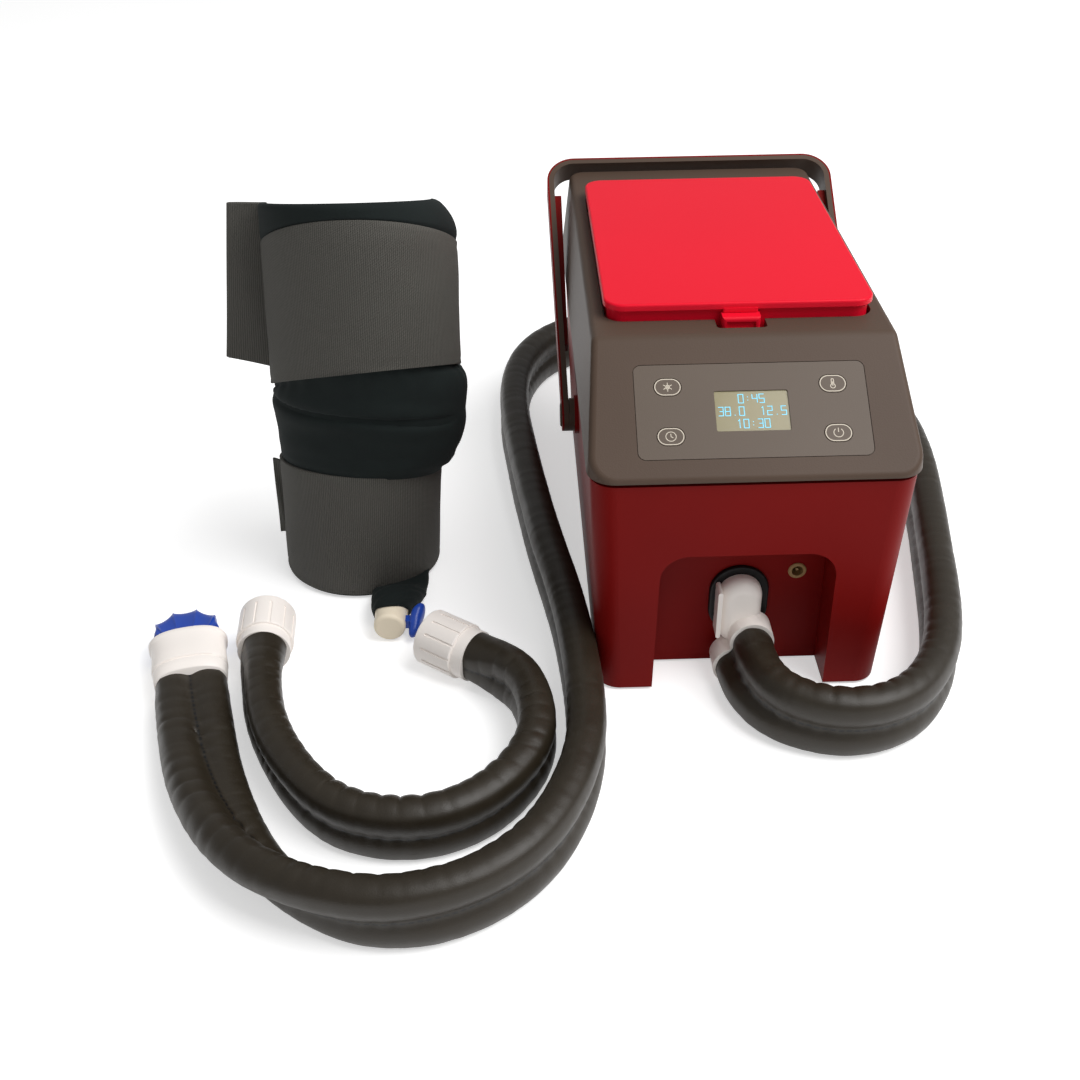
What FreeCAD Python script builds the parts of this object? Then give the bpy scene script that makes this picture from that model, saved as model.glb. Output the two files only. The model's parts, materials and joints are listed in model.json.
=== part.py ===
import FreeCAD, Part
import math
import os

from FreeCAD import Placement, Rotation, Vector

# Hot and cold water therapy machine with a twin hose, an extension hose and a knee wrap.
# Millimetres. The origin is on the table under the middle of the machine, +Z is up and the
# control panel faces -Y.

# ---------------------------------------------------------------- driving sizes: body
body_width = 210.6          # across the rim of the top cover
body_depth = 400.0          # front to back at the rim
rim_corner = 18.0           # plan radius of the rim's corners
foot_drop = 2.0             # the rubber feet hold the housing this far off the table
housing_top = 168.2         # height of the housing's upper edge
rim_gap = 3.2               # shadow gap between housing and cover
rim_lip = 3.0               # upright lip under the control panel
cover_top = 230.7           # height of the flat top
side_lean = 6.9             # each side of the cover leans in by this much
back_lean = 1.5             # front and back of the cover lean in by this much
top_corner = 12.0           # plan radius at the flat top
ridge_setback = 83.4        # depth of the sloping control panel in plan
cover_wall = 2.5
edge_round = 4.6            # rounding round the panel and the flat top
ridge_round = 10.0          # rounding where the panel meets the flat top
rim_overhang = 2.2          # the rim stands out over the housing by this much

housing_wall = 3.0
housing_draft = 6.5         # the sides of the housing lean in by this much at the bottom
housing_draft_front = 5.0
housing_corner = 16.0
floor_thickness = 6.0
base_side_margin = 30.0     # the opening in the floor stays this far inside the rim
base_back_margin = 40.0
base_front_margin = 22.0    # and this far behind the recess wall
base_corner = 8.0

# recess between the two front legs
recess_width_bottom = 118.6
recess_width_top = 114.2
recess_top = 113.5
recess_corner = 19.0
recess_depth = 34.0         # from the foremost point of the rim to the back wall
recess_wall = 3.0

# ---------------------------------------------------------------- driving sizes: lid and tank
lid_side_margin = 16.3      # strip of the flat top beside the lid
lid_front_margin = 22.6     # strip of the flat top between the ridge and the lid
service_bay = 58.0          # strip behind the lid, over the cooler and the fan
lid_thickness = 4.5
lid_rise = 11.8             # top of the lid above the flat top
lid_corner = 13.5
lid_edge_round = 1.6
skirt_inset = 2.8           # the skirt stands in from the edge of the lid
skirt_wall = 2.5
skirt_drop = 17.5           # height of the skirt under the plate
opening_gap = 2.5           # gap between the skirt and the opening in the cover
collar_wall = 2.2
collar_drop = 9.5           # collar that hangs under the cover round the opening
tank_wall = 3.0
tank_flange = 3.0
tank_inset = 9.0            # the tank wall stands in from the opening
tank_bottom = 62.0
tank_taper = 5.0
tank_corner = 14.0
plug_gap = 4.0              # gap between the insulating plug and the tank wall
plug_drop = 33.0
seal_gap = 0.3              # the seal stops this far above the tank's flange
hinge_offset = 4.0          # hinge axis behind the lid's back edge
hinge_rise = 4.3            # hinge axis above the flat top
hinge_spacing = 104.0
hinge_pin_radius = 1.5
knuckle_radius = 4.0
knuckle_length = 20.0
ear_radius = 4.5
ear_thickness = 5.0
turning_gap = 0.3           # gap beside a turning piece
bearing_gap = 0.05          # radial clearance of a running fit
latch_width = 25.0
latch_reach = 11.0          # the latch stands out in front of the skirt
latch_height = 12.5
latch_travel = 1.6
notch_width = 33.0
notch_depth = 13.0

# ---------------------------------------------------------------- driving sizes: control panel
overlay_width = 146.4
overlay_height = 65.9
overlay_low = 13.8          # lower edge of the overlay above the panel's lower edge
overlay_corner = 5.0
overlay_thickness = 0.8
overlay_gap = 0.45          # groove round the overlay
key_pitch_x = 104.4
key_low = 29.4
key_high = 63.9
key_width = 17.4
key_height = 12.4
key_gap = 0.3
key_flange = 1.1
key_flange_thickness = 0.8
key_travel = 0.4
window_width = 46.6
window_height = 28.2
window_low = 32.2
lens_margin = 1.3
lens_thickness = 1.2
board_depth = 10.0          # the control board lies this far under the panel surface
board_thickness = 1.6
board_width = 140.0
board_height = 60.0
post_radius = 3.0
switch_size = 6.0

# ---------------------------------------------------------------- driving sizes: handle
pivot_height = 110.0
crossbar_gap = 0.8          # folded back, the crossbar stands this far behind the body
crossbar_drop = 1.5         # and its inner face this far under the flat top
hub_clearance = 2.4         # gap between the body's widest line and an arm at the pivot
handle_spread = 8.8         # the bail is wider by this at the crossbar
strap_width = 20.0
strap_thickness = 4.0
trim_thickness = 1.5
bail_corner = 17.0          # inner corner radius of the bail
hub_radius = 12.5
handle_pin_radius = 6.0
rib_width = 9.0
rib_clearance = 0.7         # gap between the body's widest line and a rib
rib_start = 60.0
rib_end = 205.0
boss_inset = 1.7            # the side bosses end this far inside the body's widest line
boss_radius = 14.5
cap_radius = 9.0
cap_thickness = 2.4

# ---------------------------------------------------------------- driving sizes: port and jack
port_x = 1.0
port_width = 40.5
port_height = 55.0
port_top = 83.0
bezel_ring = 6.3
bezel_proud = 3.0
nose_gap = 0.15
nose_depth = 9.0            # the elbow's nose goes this far into the port
elbow_front = 15.5          # from the recess wall to the front of the elbow's hood
hood_round = 9.0
hood_step = 1.0             # the hood is this much larger than the nose all round
socket_length = 17.0
socket_wall = 2.6
wing_thickness = 3.2
jack_x = 39.6
jack_height = 77.3
jack_ring_radius = 6.2
jack_body_radius = 5.2
jack_bore_radius = 3.9
jack_pin_radius = 1.0
jack_depth = 15.0

# ---------------------------------------------------------------- driving sizes: hoses
lumen = 25.0                # one of the two sleeved tubes of a hose
main_pair = 48.0            # width of the pair, standing on edge
extension_lumen = 24.0
extension_pair = 42.0
table_gap = 0.3
main_twist_length = 42.0    # the main hose turns flat over this length before its collar
twist_steps = 8
bend_share = 0.45           # share of the shorter run that each bend takes
beyond = 1000.0             # reach of a cutting block that passes every edge

# The plan points of the two hoses are counted from the part of the machine that they lie
# beside: the port, or a corner of the body. The main hose runs from the elbow round the back.
route_from_port = [(2.0, -25.0), (2.0, -50.0)]
route_front_right = [
    (-84.3, -46.0),
    (-43.3, -61.0),
    (-2.3, -47.0),
    (25.7, -10.0),
    (40.7, 35.0),
    (51.7, 88.0),
    (63.7, 155.0),
]
route_back_right = [
    (77.7, -165.0),
    (80.7, -90.0),
    (64.7, -23.0),
    (29.7, 34.0),
    (-19.3, 77.0),
    (-77.3, 105.0),
]
route_back_left = [
    (70.3, 116.0),
    (12.3, 105.0),
    (-23.7, 67.0),
    (-41.7, 14.0),
    (-44.7, -52.0),
    (-38.7, -120.0),
    (-30.7, -192.0),
]
route_front_left = [
    (-22.7, 145.0),
    (-12.7, 88.0),
    (-5.7, 32.0),
    (-1.7, -28.0),
    (-3.7, -90.0),
    (-30.7, -156.0),
    (-72.7, -191.0),
    (-120.7, -202.0),
    (-166.7, -188.0),
    (-212.7, -150.0),
    (-250.7, -68.0),
    (-268.5, 8.0),
]
extension_from_front_left = [
    (-222.2, 34.0),
    (-219.7, -6.0),
    (-202.7, -62.0),
    (-168.7, -115.0),
    (-133.7, -134.0),
    (-93.7, -134.0),
    (-57.7, -112.0),
    (-33.7, -71.0),
    (-34.7, -28.0),
    (-47.7, 3.0),
    (-74.7, 23.0),
]

collar_width = 52.0         # flat coupling collar on the main hose
collar_height = 31.0
collar_length = 44.0
band_length = 12.0          # the collar's narrower band over the hose
crown_seat = 16.0           # the crown sits this deep in the collar
crown_reach = 27.0          # and stands out this far
crown_corner = 19.0
crown_width = 47.0
crown_height = 23.0
crown_travel = 2.5
crown_lobes = 5
crown_lobe_pitch = 8.6
crown_lobe_radius = 5.6
crown_lobe_proud = 1.1      # each lobe stands out this far over the crown's edge
round_collar_radius = 20.0
round_collar_length = 31.0
round_collar_step = 9.0
round_collar_bore = 13.0
round_collar_bore_depth = 20.0
collar_grooves = 12

# ---------------------------------------------------------------- driving sizes: knee wrap
wrap_height = 312.0         # at its front edge
wrap_slant = 18.0           # degrees by which the upper rim falls towards the back
wrap_wall = 3.5
wrap_lining = 3.0
strap_layer = 2.6
wrap_from_corner = (-165.3, 174.0)      # foot of the wrap from the front left corner
# rings of the sleeve: height, centre from the foot, half width, half depth
sleeve_rings = [
    (0.0, 0.0, 0.0, 56.9, 52.0),
    (35.0, 1.8, 0.0, 57.1, 52.0),
    (62.0, 3.7, 0.0, 57.5, 52.0),
    (80.0, 7.1, 0.0, 59.8, 52.5),
    (98.0, 13.1, -0.5, 67.5, 55.0),
    (127.0, 15.9, -1.0, 72.0, 58.5),
    (160.0, 16.4, -2.0, 70.6, 60.0),
    (207.0, 17.6, -3.0, 64.8, 58.5),
    (266.0, 19.9, -4.0, 63.6, 57.5),
    (330.0, 21.1, -4.0, 62.0, 56.0),
]
# each strap: heights of its two edges at the front, and how far each edge falls to the back
lower_strap = (4.0, 110.0, 0.0, 17.0)
upper_strap = (187.0, 297.0, 18.0, 27.0)
tail_thickness = 3.0
tail_depth = -3.0           # the tail stands this far in front of the foot's middle
# outline of the tail: distance beside the foot's middle, and height
tail_outline = [(-66.6, 292.0), (-83.0, 179.0), (-54.4, 170.0), (-19.4, 170.0), (-19.4, 292.0)]
hook_width = 5.0
tongue_width = 36.0         # rubber lip under the wrap's coupling
tongue_reach = 27.0
tongue_height = 13.0
tongue_from_foot = (34.6, -51.0)
wrap_coupling_radius = 11.5
wrap_coupling_length = 30.0
wrap_coupling_offset = 27.6
wrap_lever_travel = 1.5
stem_gap = 0.2

# ---------------------------------------------------------------- driving sizes: works inside
sink_size = 84.0
sink_base = 5.0
sink_fin_height = 20.0
sink_fins = 11
sink_fin_thickness = 1.6
cooler_size = 50.0
cooler_thickness = 12.0
fan_size = 84.0
fan_depth = 20.0
fan_bore = 39.0
fan_hub = 17.0
fan_blades = 7
fan_clearance = 1.5
fan_shaft_radius = 2.0
vent_slots = 9
vent_slot_width = 4.0
vent_pitch = 8.4
pump_radius = 21.0
pump_length = 44.0
pump_x = -42.0
outlet_setback = 45.0       # the tank's outlet lies this far behind the lid's front edge
pump_setback = 64.0         # and the pump's front face this far
impeller_radius = 14.0
impeller_blades = 6
tube_radius = 5.0
power_board_width = 70.0
power_board_length = 90.0
power_board_x = 40.0
power_board_y = 30.0
power_board_height = 22.0
foot_radius = 8.0
foot_inset_x = 19.0
foot_inset_y = 19.0
foot_recess = 1.5

# ---------------------------------------------------------------- worked-out places
rim_height = housing_top + rim_gap
panel_edge_height = rim_height + rim_lip
front_y = -body_depth / 2
recess_y = front_y + recess_depth + 2.0
base_half_width = body_width / 2 - base_side_margin
base_back = body_depth / 2 - base_back_margin
base_front = recess_y + base_front_margin
panel_angle = math.degrees(math.atan2(cover_top - panel_edge_height, ridge_setback))
panel_frame = Placement(
    Vector(0, front_y, panel_edge_height), Rotation(Vector(1, 0, 0), panel_angle)
)
lid_width = body_width - 2 * lid_side_margin
lid_front = front_y + ridge_setback + lid_front_margin
lid_length = body_depth / 2 - service_bay - lid_front
lid_top = cover_top + lid_rise
lid_bottom = lid_top - lid_thickness
lid_back = lid_front + lid_length
lid_middle = lid_front + lid_length / 2
skirt_width = lid_width - 2 * skirt_inset
skirt_length = lid_length - 2 * skirt_inset
skirt_bottom = lid_bottom - skirt_drop
opening_width = skirt_width + 2 * opening_gap
opening_length = skirt_length + 2 * opening_gap
opening_corner = lid_corner - skirt_inset + opening_gap
opening_front = lid_middle - opening_length / 2
collar_bottom = cover_top - cover_wall - collar_drop
tank_width = opening_width - 2 * tank_inset
tank_length = opening_length - 2 * tank_inset
tank_back = lid_middle + tank_length / 2
outlet_y = lid_front + outlet_setback
pump_y = lid_front + pump_setback
hinge_y = lid_back + hinge_offset
hinge_z = cover_top + hinge_rise
port_middle = port_top - port_height / 2
hub_width = body_width + 2 * hub_clearance
handle_width = hub_width + handle_spread
crossbar_y = body_depth / 2 + crossbar_gap
crossbar_rise = cover_top - crossbar_drop - pivot_height
handle_reach = math.hypot(crossbar_y, crossbar_rise)
handle_rest_angle = math.degrees(math.atan2(crossbar_rise, crossbar_y))
rib_inner = body_width / 2 + rib_clearance
boss_face = body_width / 2 - boss_inset
arm_inner = hub_width / 2
arm_outer = handle_width / 2 + strap_thickness
post_tip = arm_inner + strap_thickness + turning_gap
pivot = Vector(0, 0, pivot_height)


def counted_from(corner, offsets):
    return [(corner[0] + x, corner[1] + y) for x, y in offsets]


half_body = body_width / 2
front_left = (-half_body, front_y)
main_route = (
    counted_from((port_x, recess_y), route_from_port)
    + counted_from((half_body, front_y), route_front_right)
    + counted_from((half_body, -front_y), route_back_right)
    + counted_from((-half_body, -front_y), route_back_left)
    + counted_from(front_left, route_front_left)
)
extension_route = counted_from(front_left, extension_from_front_left)
[wrap_foot] = counted_from(front_left, [wrap_from_corner])
[tongue_middle] = counted_from(wrap_foot, [tongue_from_foot])
wrap_coupling_middle = wrap_foot[0] + wrap_coupling_offset
wrap_rings = [
    (height, wrap_foot[0] + x, wrap_foot[1] + y, half_width, half_depth)
    for height, x, y, half_width, half_depth in sleeve_rings
]
main_height = main_pair / 2 + table_gap
extension_height = extension_pair / 2 + table_gap
up = Vector(0, 0, 1)


# ---------------------------------------------------------------- shape helpers
def rounded_rectangle(width, depth, radius, height=0.0, middle=(0.0, 0.0)):
    """A closed wire of four lines and four quarter circles at the given height."""
    signs = [(1, 1), (-1, 1), (-1, -1), (1, -1)]
    arcs = []
    for turn, (side_x, side_y) in enumerate(signs):
        centre = Vector(
            middle[0] + side_x * (width / 2 - radius),
            middle[1] + side_y * (depth / 2 - radius),
            height,
        )
        arcs.append(Part.makeCircle(radius, centre, up, 90 * turn, 90 * turn + 90))
    edges = []
    for turn in range(4):
        edges.append(arcs[turn])
        start = arcs[turn].Vertexes[-1].Point
        end = arcs[(turn + 1) % 4].Vertexes[0].Point
        if start.distanceToPoint(end) > 0.001:
            edges.append(Part.makeLine(start, end))
    return Part.Wire(edges)


def slab(width, depth, radius, low, high, middle=(0.0, 0.0)):
    """An upright block with rounded corners between two heights."""
    face = Part.Face(rounded_rectangle(width, depth, radius, low, middle))
    return face.extrude(Vector(0, 0, high - low))


def frame_slab(width, depth, radius, wall, low, high, middle=(0.0, 0.0)):
    """A rounded rectangular ring with a wall of the given thickness."""
    inside = slab(
        width - 2 * wall, depth - 2 * wall, max(radius - wall, 0.5), low - 1, high + 1, middle
    )
    return slab(width, depth, radius, low, high, middle).cut(inside)


def taper(bottom, top):
    """A straight-sided solid between two wires."""
    return Part.makeLoft([bottom, top], True, True)


def cylinder(radius, start, direction, length):
    return Part.makeCylinder(radius, length, start, direction)


def block(low, high):
    size = high - low
    return Part.makeBox(size.x, size.y, size.z, low)


def pill(width, height, low, high, middle=(0.0, 0.0)):
    """A pill-shaped prism whose round ends have half the height as radius."""
    return slab(width, height, height / 2, low, high, middle)


def on_panel(shape):
    """Moves a shape drawn flat, x across and y up the slope, on to the control panel."""
    placed = shape.copy()
    placed.Placement = panel_frame.multiply(placed.Placement)
    return placed


def mirrored(shape):
    """The shape reflected in the machine's middle plane."""
    return shape.mirror(Vector(0, 0, 0), Vector(1, 0, 0))


def both_sides(shape):
    return Part.makeCompound([shape, mirrored(shape)])


def turned(shape, centre, axis, angle):
    copy = shape.copy()
    copy.rotate(centre, axis, angle)
    return copy


def fuse_all(shapes):
    return shapes[0].multiFuse(shapes[1:]).removeSplitter()


def cut_all(shape, tools):
    for tool in tools:
        shape = shape.cut(tool)
    return shape


# ---------------------------------------------------------------- top cover
def cover_profile(inset):
    """Side view of the cover, with its rounded ridge, run right across the body."""
    slope = math.radians(panel_angle)
    radius = ridge_round - inset
    top = cover_top - inset
    start = panel_frame.Base
    drop = inset / math.cos(slope)
    ridge = start.y + (top - start.z + drop) / math.tan(slope)
    tangent = radius * math.tan(slope / 2)
    below = Vector(0, ridge - tangent * math.cos(slope), top - tangent * math.sin(slope))
    above = Vector(0, ridge + tangent, top)
    rise = radius * (1 - math.cos(slope / 2))
    middle = Vector(0, above.y - radius * math.sin(slope / 2), top - rise)
    foot = below - Vector(0, math.cos(slope), math.sin(slope)) * body_depth / 2
    far = Vector(0, body_depth, top)
    edges = [
        Part.makeLine(foot, below),
        Part.Arc(below, middle, above).toShape(),
        Part.makeLine(above, far),
        Part.makeLine(far, Vector(0, far.y, foot.z - 1)),
        Part.makeLine(Vector(0, far.y, foot.z - 1), Vector(0, foot.y, foot.z - 1)),
        Part.makeLine(Vector(0, foot.y, foot.z - 1), foot),
    ]
    side = Part.Face(Part.Wire(edges)).extrude(Vector(2 * body_width, 0, 0))
    side.translate(Vector(-body_width, 0, 0))
    return side


def cover_form(inset):
    """The outside of the cover drawn in by the inset."""
    bottom = rounded_rectangle(
        body_width - 2 * inset, body_depth - 2 * inset, rim_corner - inset, rim_height
    )
    upper = rounded_rectangle(
        body_width - 2 * side_lean - 2 * inset,
        body_depth - 2 * back_lean - 2 * inset,
        top_corner - inset,
        cover_top,
    )
    return taper(bottom, upper).common(cover_profile(inset))


def rounded_cover_form():
    """The cover's outside with its upper edge rounded all the way round."""
    form = cover_form(0.0)
    profile = cover_profile(0.0)
    edges = []
    for edge in form.Edges:
        points = edge.discretize(5)
        on_profile = all(
            profile.distToShape(Part.Vertex(point))[0] < 0.01
            and not profile.isInside(point, 0.01, False)
            for point in points
        )
        crosses = edge.BoundBox.XLength > body_width / 2 and edge.BoundBox.YMin > front_y + 20.0
        ridge = crosses and edge.BoundBox.YMax < 0
        if on_profile and not ridge:
            edges.append(edge)
    return form.makeFillet(edge_round, edges)


def hinge_ears():
    """Four ears in two pairs on the flat top that hold the hinge pins."""
    ears = []
    for side in (-1, 1):
        for end in (-1, 1):
            middle = side * hinge_spacing / 2
            reach = knuckle_length / 2 + turning_gap + (ear_thickness if end > 0 else 0)
            start = middle + (reach - ear_thickness if end > 0 else -reach - ear_thickness)
            disc = cylinder(
                ear_radius, Vector(start, hinge_y, hinge_z), Vector(1, 0, 0), ear_thickness
            )
            stand = block(
                Vector(start, hinge_y - ear_radius + 1.6, cover_top - cover_wall),
                Vector(start + ear_thickness, hinge_y + ear_radius, hinge_z),
            )
            ears.append(disc.fuse(stand))
    return ears


def top_cover():
    outside = rounded_cover_form()
    inside = cover_form(cover_wall)
    shell = outside.cut(inside)
    tongue_outer = body_width - 2 * rim_overhang - 2 * housing_wall - 0.8
    tongue_depth = body_depth - 2 * rim_overhang - 2 * housing_wall - 0.8
    ledge = slab(body_width - 3, body_depth - 3, rim_corner - 1.5, rim_height, rim_height + 2.0)
    ledge = ledge.common(outside)
    tongue = slab(
        tongue_outer,
        tongue_depth,
        housing_corner - housing_wall,
        rim_height - rim_gap - 7.0,
        rim_height + 2.0,
    )
    hollow = slab(
        tongue_outer - 2 * cover_wall,
        tongue_depth - 2 * cover_wall,
        housing_corner - housing_wall - cover_wall,
        0.0,
        cover_top - cover_wall - 20.0,
    )
    rim = ledge.fuse(tongue).cut(hollow)
    middle = (0.0, lid_middle)
    collar = slab(
        opening_width + 2 * collar_wall,
        opening_length + 2 * collar_wall,
        opening_corner + collar_wall,
        collar_bottom,
        cover_top - cover_wall + 0.5,
        middle,
    )
    pocket = slab(
        notch_width + 2 * collar_wall,
        2 * notch_depth + 2 * collar_wall,
        3.0 + collar_wall,
        collar_bottom,
        cover_top - cover_wall + 0.5,
        (0.0, opening_front),
    )
    posts = []
    for side in (-1, 1):
        for up_slope in (-1, 1):
            at = Vector(
                side * (board_width / 2 - 5.0),
                overlay_low + overlay_height / 2 + up_slope * (board_height / 2 - 5.0),
                -board_depth,
            )
            posts.append(on_panel(cylinder(post_radius, at, up, board_depth - 1.5)))
    cover = fuse_all([shell, rim, collar, pocket] + posts + hinge_ears())
    opening = slab(
        opening_width, opening_length, opening_corner, collar_bottom - 1, lid_top, middle
    )
    notch = slab(
        notch_width,
        2 * notch_depth,
        3.0,
        collar_bottom + 1.5,
        lid_top,
        (0.0, opening_front),
    )
    overlay_bed = slab(
        overlay_width + 2 * overlay_gap,
        overlay_height + 2 * overlay_gap,
        overlay_corner + overlay_gap,
        -overlay_thickness,
        5.0,
        (0.0, overlay_low + overlay_height / 2),
    )
    window_hole = slab(
        window_width + 2 * lens_margin + 0.2,
        window_height + 2 * lens_margin + 0.2,
        2.0,
        -cover_wall - 1.0,
        1.0,
        (0.0, window_low + window_height / 2),
    )
    cuts = [opening, notch, on_panel(overlay_bed), on_panel(window_hole)]
    for x, s in key_places():
        hole = pill(
            key_width + 2 * key_gap, key_height + 2 * key_gap, -cover_wall - 1, 1, (x, s)
        )
        cuts.append(on_panel(hole))
    for side in (-1, 1):
        bore = cylinder(
            hinge_pin_radius,
            Vector(side * hinge_spacing / 2 - knuckle_length, hinge_y, hinge_z),
            Vector(1, 0, 0),
            2 * knuckle_length,
        )
        cuts.append(bore)
    return cut_all(cover, cuts)


# ---------------------------------------------------------------- housing
def housing_form(inset, low, high):
    """The tapered outside of the housing, drawn in by the inset, between two heights."""
    width = body_width - 2 * rim_overhang - 2 * inset
    depth = body_depth - 2 * rim_overhang - 2 * inset
    span = housing_top - foot_drop

    def outline(height):
        share = (housing_top - height) / span
        return rounded_rectangle(
            width - 2 * housing_draft * share,
            depth - 2 * housing_draft_front * share,
            housing_corner - inset,
            height,
        )

    return taper(outline(low), outline(high))


def recess_form(grow, back):
    """The arched space between the front legs, grown outwards by the given wall."""
    half_low = recess_width_bottom / 2 + grow
    half_high = recess_width_top / 2 + grow
    top = recess_top + grow
    radius = recess_corner + grow
    start = front_y - 20.0
    points = [
        Vector(-half_low, start, -10.0),
        Vector(half_low, start, -10.0),
        Vector(half_high, start, top),
        Vector(-half_high, start, top),
    ]
    outline = Part.makePolygon(points + points[:1])
    arch = Part.Face(outline).extrude(Vector(0, back - start, 0))
    upper = []
    for edge in arch.Edges:
        ends = [vertex.Point for vertex in edge.Vertexes]
        along = abs(ends[0].y - ends[1].y) > 1.0
        if along and min(end.z for end in ends) > top - 1.0:
            upper.append(edge)
    return arch.makeFillet(radius, upper)


def foot_places():
    places = []
    for side in (-1, 1):
        for end in (-1, 1):
            x = side * (body_width / 2 - rim_overhang - housing_draft - foot_inset_x)
            y = end * (body_depth / 2 - rim_overhang - housing_draft_front - foot_inset_y)
            places.append((x, y))
    return places


def base_opening(grow, low, high):
    """Rectangle in the housing floor that the base plate covers."""
    return slab(
        2 * base_half_width + 2 * grow,
        base_back - base_front + 2 * grow,
        base_corner + grow,
        low,
        high,
        (0.0, (base_back + base_front) / 2),
    )


def base_screw_places():
    return [
        (side * (base_half_width - 1.0), y)
        for side in (-1, 1)
        for y in (base_front - 1.0, base_back + 1.0)
    ]


plate_lap = 6.0
plate_thickness = 2.5
screw_radius = 1.5
screw_head_radius = 2.8


def housing():
    outside = housing_form(0.0, foot_drop, housing_top)
    inside = housing_form(housing_wall, foot_drop + floor_thickness, housing_top + 1.0)
    shell = outside.cut(inside)
    recess_shell = recess_form(recess_wall, recess_y + recess_wall).common(
        housing_form(0.0, foot_drop, housing_top)
    )
    bosses = []
    for side in (-1, 1):
        start = Vector(side * (boss_face - 8.0), 0, pivot_height)
        bosses.append(cylinder(boss_radius, start, Vector(side, 0, 0), 8.0))
    body = fuse_all([shell, recess_shell] + bosses)
    cuts = [recess_form(0.0, recess_y)]
    cuts.append(base_opening(0.0, 0.0, 20.0))
    cuts.append(base_opening(plate_lap + 0.2, 0.0, foot_drop + plate_thickness))
    for x, y in foot_places():
        cuts.append(cylinder(foot_radius, Vector(x, y, 0), up, foot_drop + foot_recess))
    for side in (-1, 1):
        start = Vector(side * (boss_face - 20.0), 0, pivot_height)
        cuts.append(cylinder(handle_pin_radius, start, Vector(side, 0, 0), 30.0))
    port = upright_pill(
        port_width - 2 * bezel_ring + 4.0, port_height - 2 * bezel_ring + 4.0, recess_y - 5, recess_y + 12
    )
    cuts.append(port)
    cuts.append(
        cylinder(
            jack_body_radius, Vector(jack_x, recess_y - 5, jack_height), Vector(0, 1, 0), 12.0
        )
    )
    back = body_depth / 2
    middle = sink_middle()
    for index in range(vent_slots):
        x = (index - (vent_slots - 1) / 2) * vent_pitch
        reach = math.sqrt(max((fan_bore - 1.0) ** 2 - x * x, 100.0))
        slot = upright_slot(vent_slot_width, 2 * reach, x, middle, back - 14.0, back + 5.0)
        cuts.append(slot)
    for x, y in base_screw_places():
        cuts.append(cylinder(screw_radius, Vector(x, y, 0), up, foot_drop + floor_thickness + 1))
    return cut_all(body, cuts)


def upright_pill(width, height, start_y, end_y, x=None, z=None):
    """A pill standing in the XZ plane, run from one y to another."""
    x = port_x if x is None else x
    z = port_middle if z is None else z
    flat = slab(width, height, width / 2, 0.0, end_y - start_y)
    flat.rotate(Vector(0, 0, 0), Vector(1, 0, 0), 90)
    flat.translate(Vector(x, end_y, z))
    return flat


def upright_slot(width, height, x, z, start_y, end_y):
    return upright_pill(width, height, start_y, end_y, x, z)


def rubber_feet():
    feet = []
    for x, y in foot_places():
        foot = cylinder(foot_radius, Vector(x, y, 0), up, foot_drop + foot_recess)
        rim = [edge for edge in foot.Edges if edge.BoundBox.ZMax < 0.01]
        feet.append(foot.makeChamfer(0.6, rim))
    return Part.makeCompound(feet)


def base_plate():
    plate = base_opening(plate_lap, foot_drop, foot_drop + plate_thickness)
    cuts = []
    for x, y in base_screw_places():
        cuts.append(cylinder(screw_radius, Vector(x, y, 0), up, 10.0))
        cuts.append(cylinder(screw_head_radius, Vector(x, y, 0), up, foot_drop + 1.2))
    for index in range(9):
        y = 52.0 + index * 9.0
        cuts.append(slab(70.0, 3.6, 1.7, 0.0, 10.0, (0.0, y)))
    return cut_all(plate, cuts)


def base_screws():
    screws = []
    for x, y in base_screw_places():
        head = cylinder(screw_head_radius - 0.1, Vector(x, y, foot_drop + 0.1), up, 1.1)
        shank = cylinder(screw_radius, Vector(x, y, foot_drop + 0.1), up, floor_thickness - 0.6)
        slot = block(
            Vector(x - 2, y - 0.35, foot_drop - 1), Vector(x + 2, y + 0.35, foot_drop + 0.6)
        )
        screws.append(head.fuse(shank).cut(slot))
    return Part.makeCompound(screws)


# ---------------------------------------------------------------- tank and lid
def water_tank():
    middle = (0.0, lid_middle)
    top = collar_bottom
    outer = taper(
        rounded_rectangle(
            tank_width - 2 * tank_taper, tank_length - 2 * tank_taper, tank_corner, tank_bottom, middle
        ),
        rounded_rectangle(tank_width, tank_length, tank_corner, top, middle),
    )
    inner = taper(
        rounded_rectangle(
            tank_width - 2 * tank_taper - 2 * tank_wall,
            tank_length - 2 * tank_taper - 2 * tank_wall,
            tank_corner - tank_wall,
            tank_bottom + tank_wall,
            middle,
        ),
        rounded_rectangle(
            tank_width - 2 * tank_wall, tank_length - 2 * tank_wall, tank_corner - tank_wall, top + 1, middle
        ),
    )
    flange = slab(
        opening_width + 2 * collar_wall,
        opening_length + 2 * collar_wall,
        opening_corner + collar_wall,
        top - tank_flange,
        top,
        middle,
    )
    outlet = cylinder(
        tube_radius + 1.5, Vector(pump_x, outlet_y, tank_bottom - 8.0), up, 10.0
    )
    drain = cylinder(
        tube_radius - 1.0, Vector(pump_x, outlet_y, tank_bottom - 9.0), up, 20.0
    )
    return fuse_all([outer, flange, outlet]).cut(inner).cut(drain)


def tank_filter():
    """Round strainer that drops over the tank's outlet."""
    at = Vector(pump_x, outlet_y, tank_bottom + tank_wall)
    cup = cylinder(14.0, at, up, 12.0).cut(cylinder(12.2, at + Vector(0, 0, -1), up, 11.2))
    cuts = []
    for index in range(12):
        slot = block(Vector(10.0, -1.1, 2.0), Vector(16.0, 1.1, 9.0))
        slot.rotate(Vector(0, 0, 0), up, 30 * index)
        slot.translate(at)
        cuts.append(slot)
    return cut_all(cup, cuts)


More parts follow.
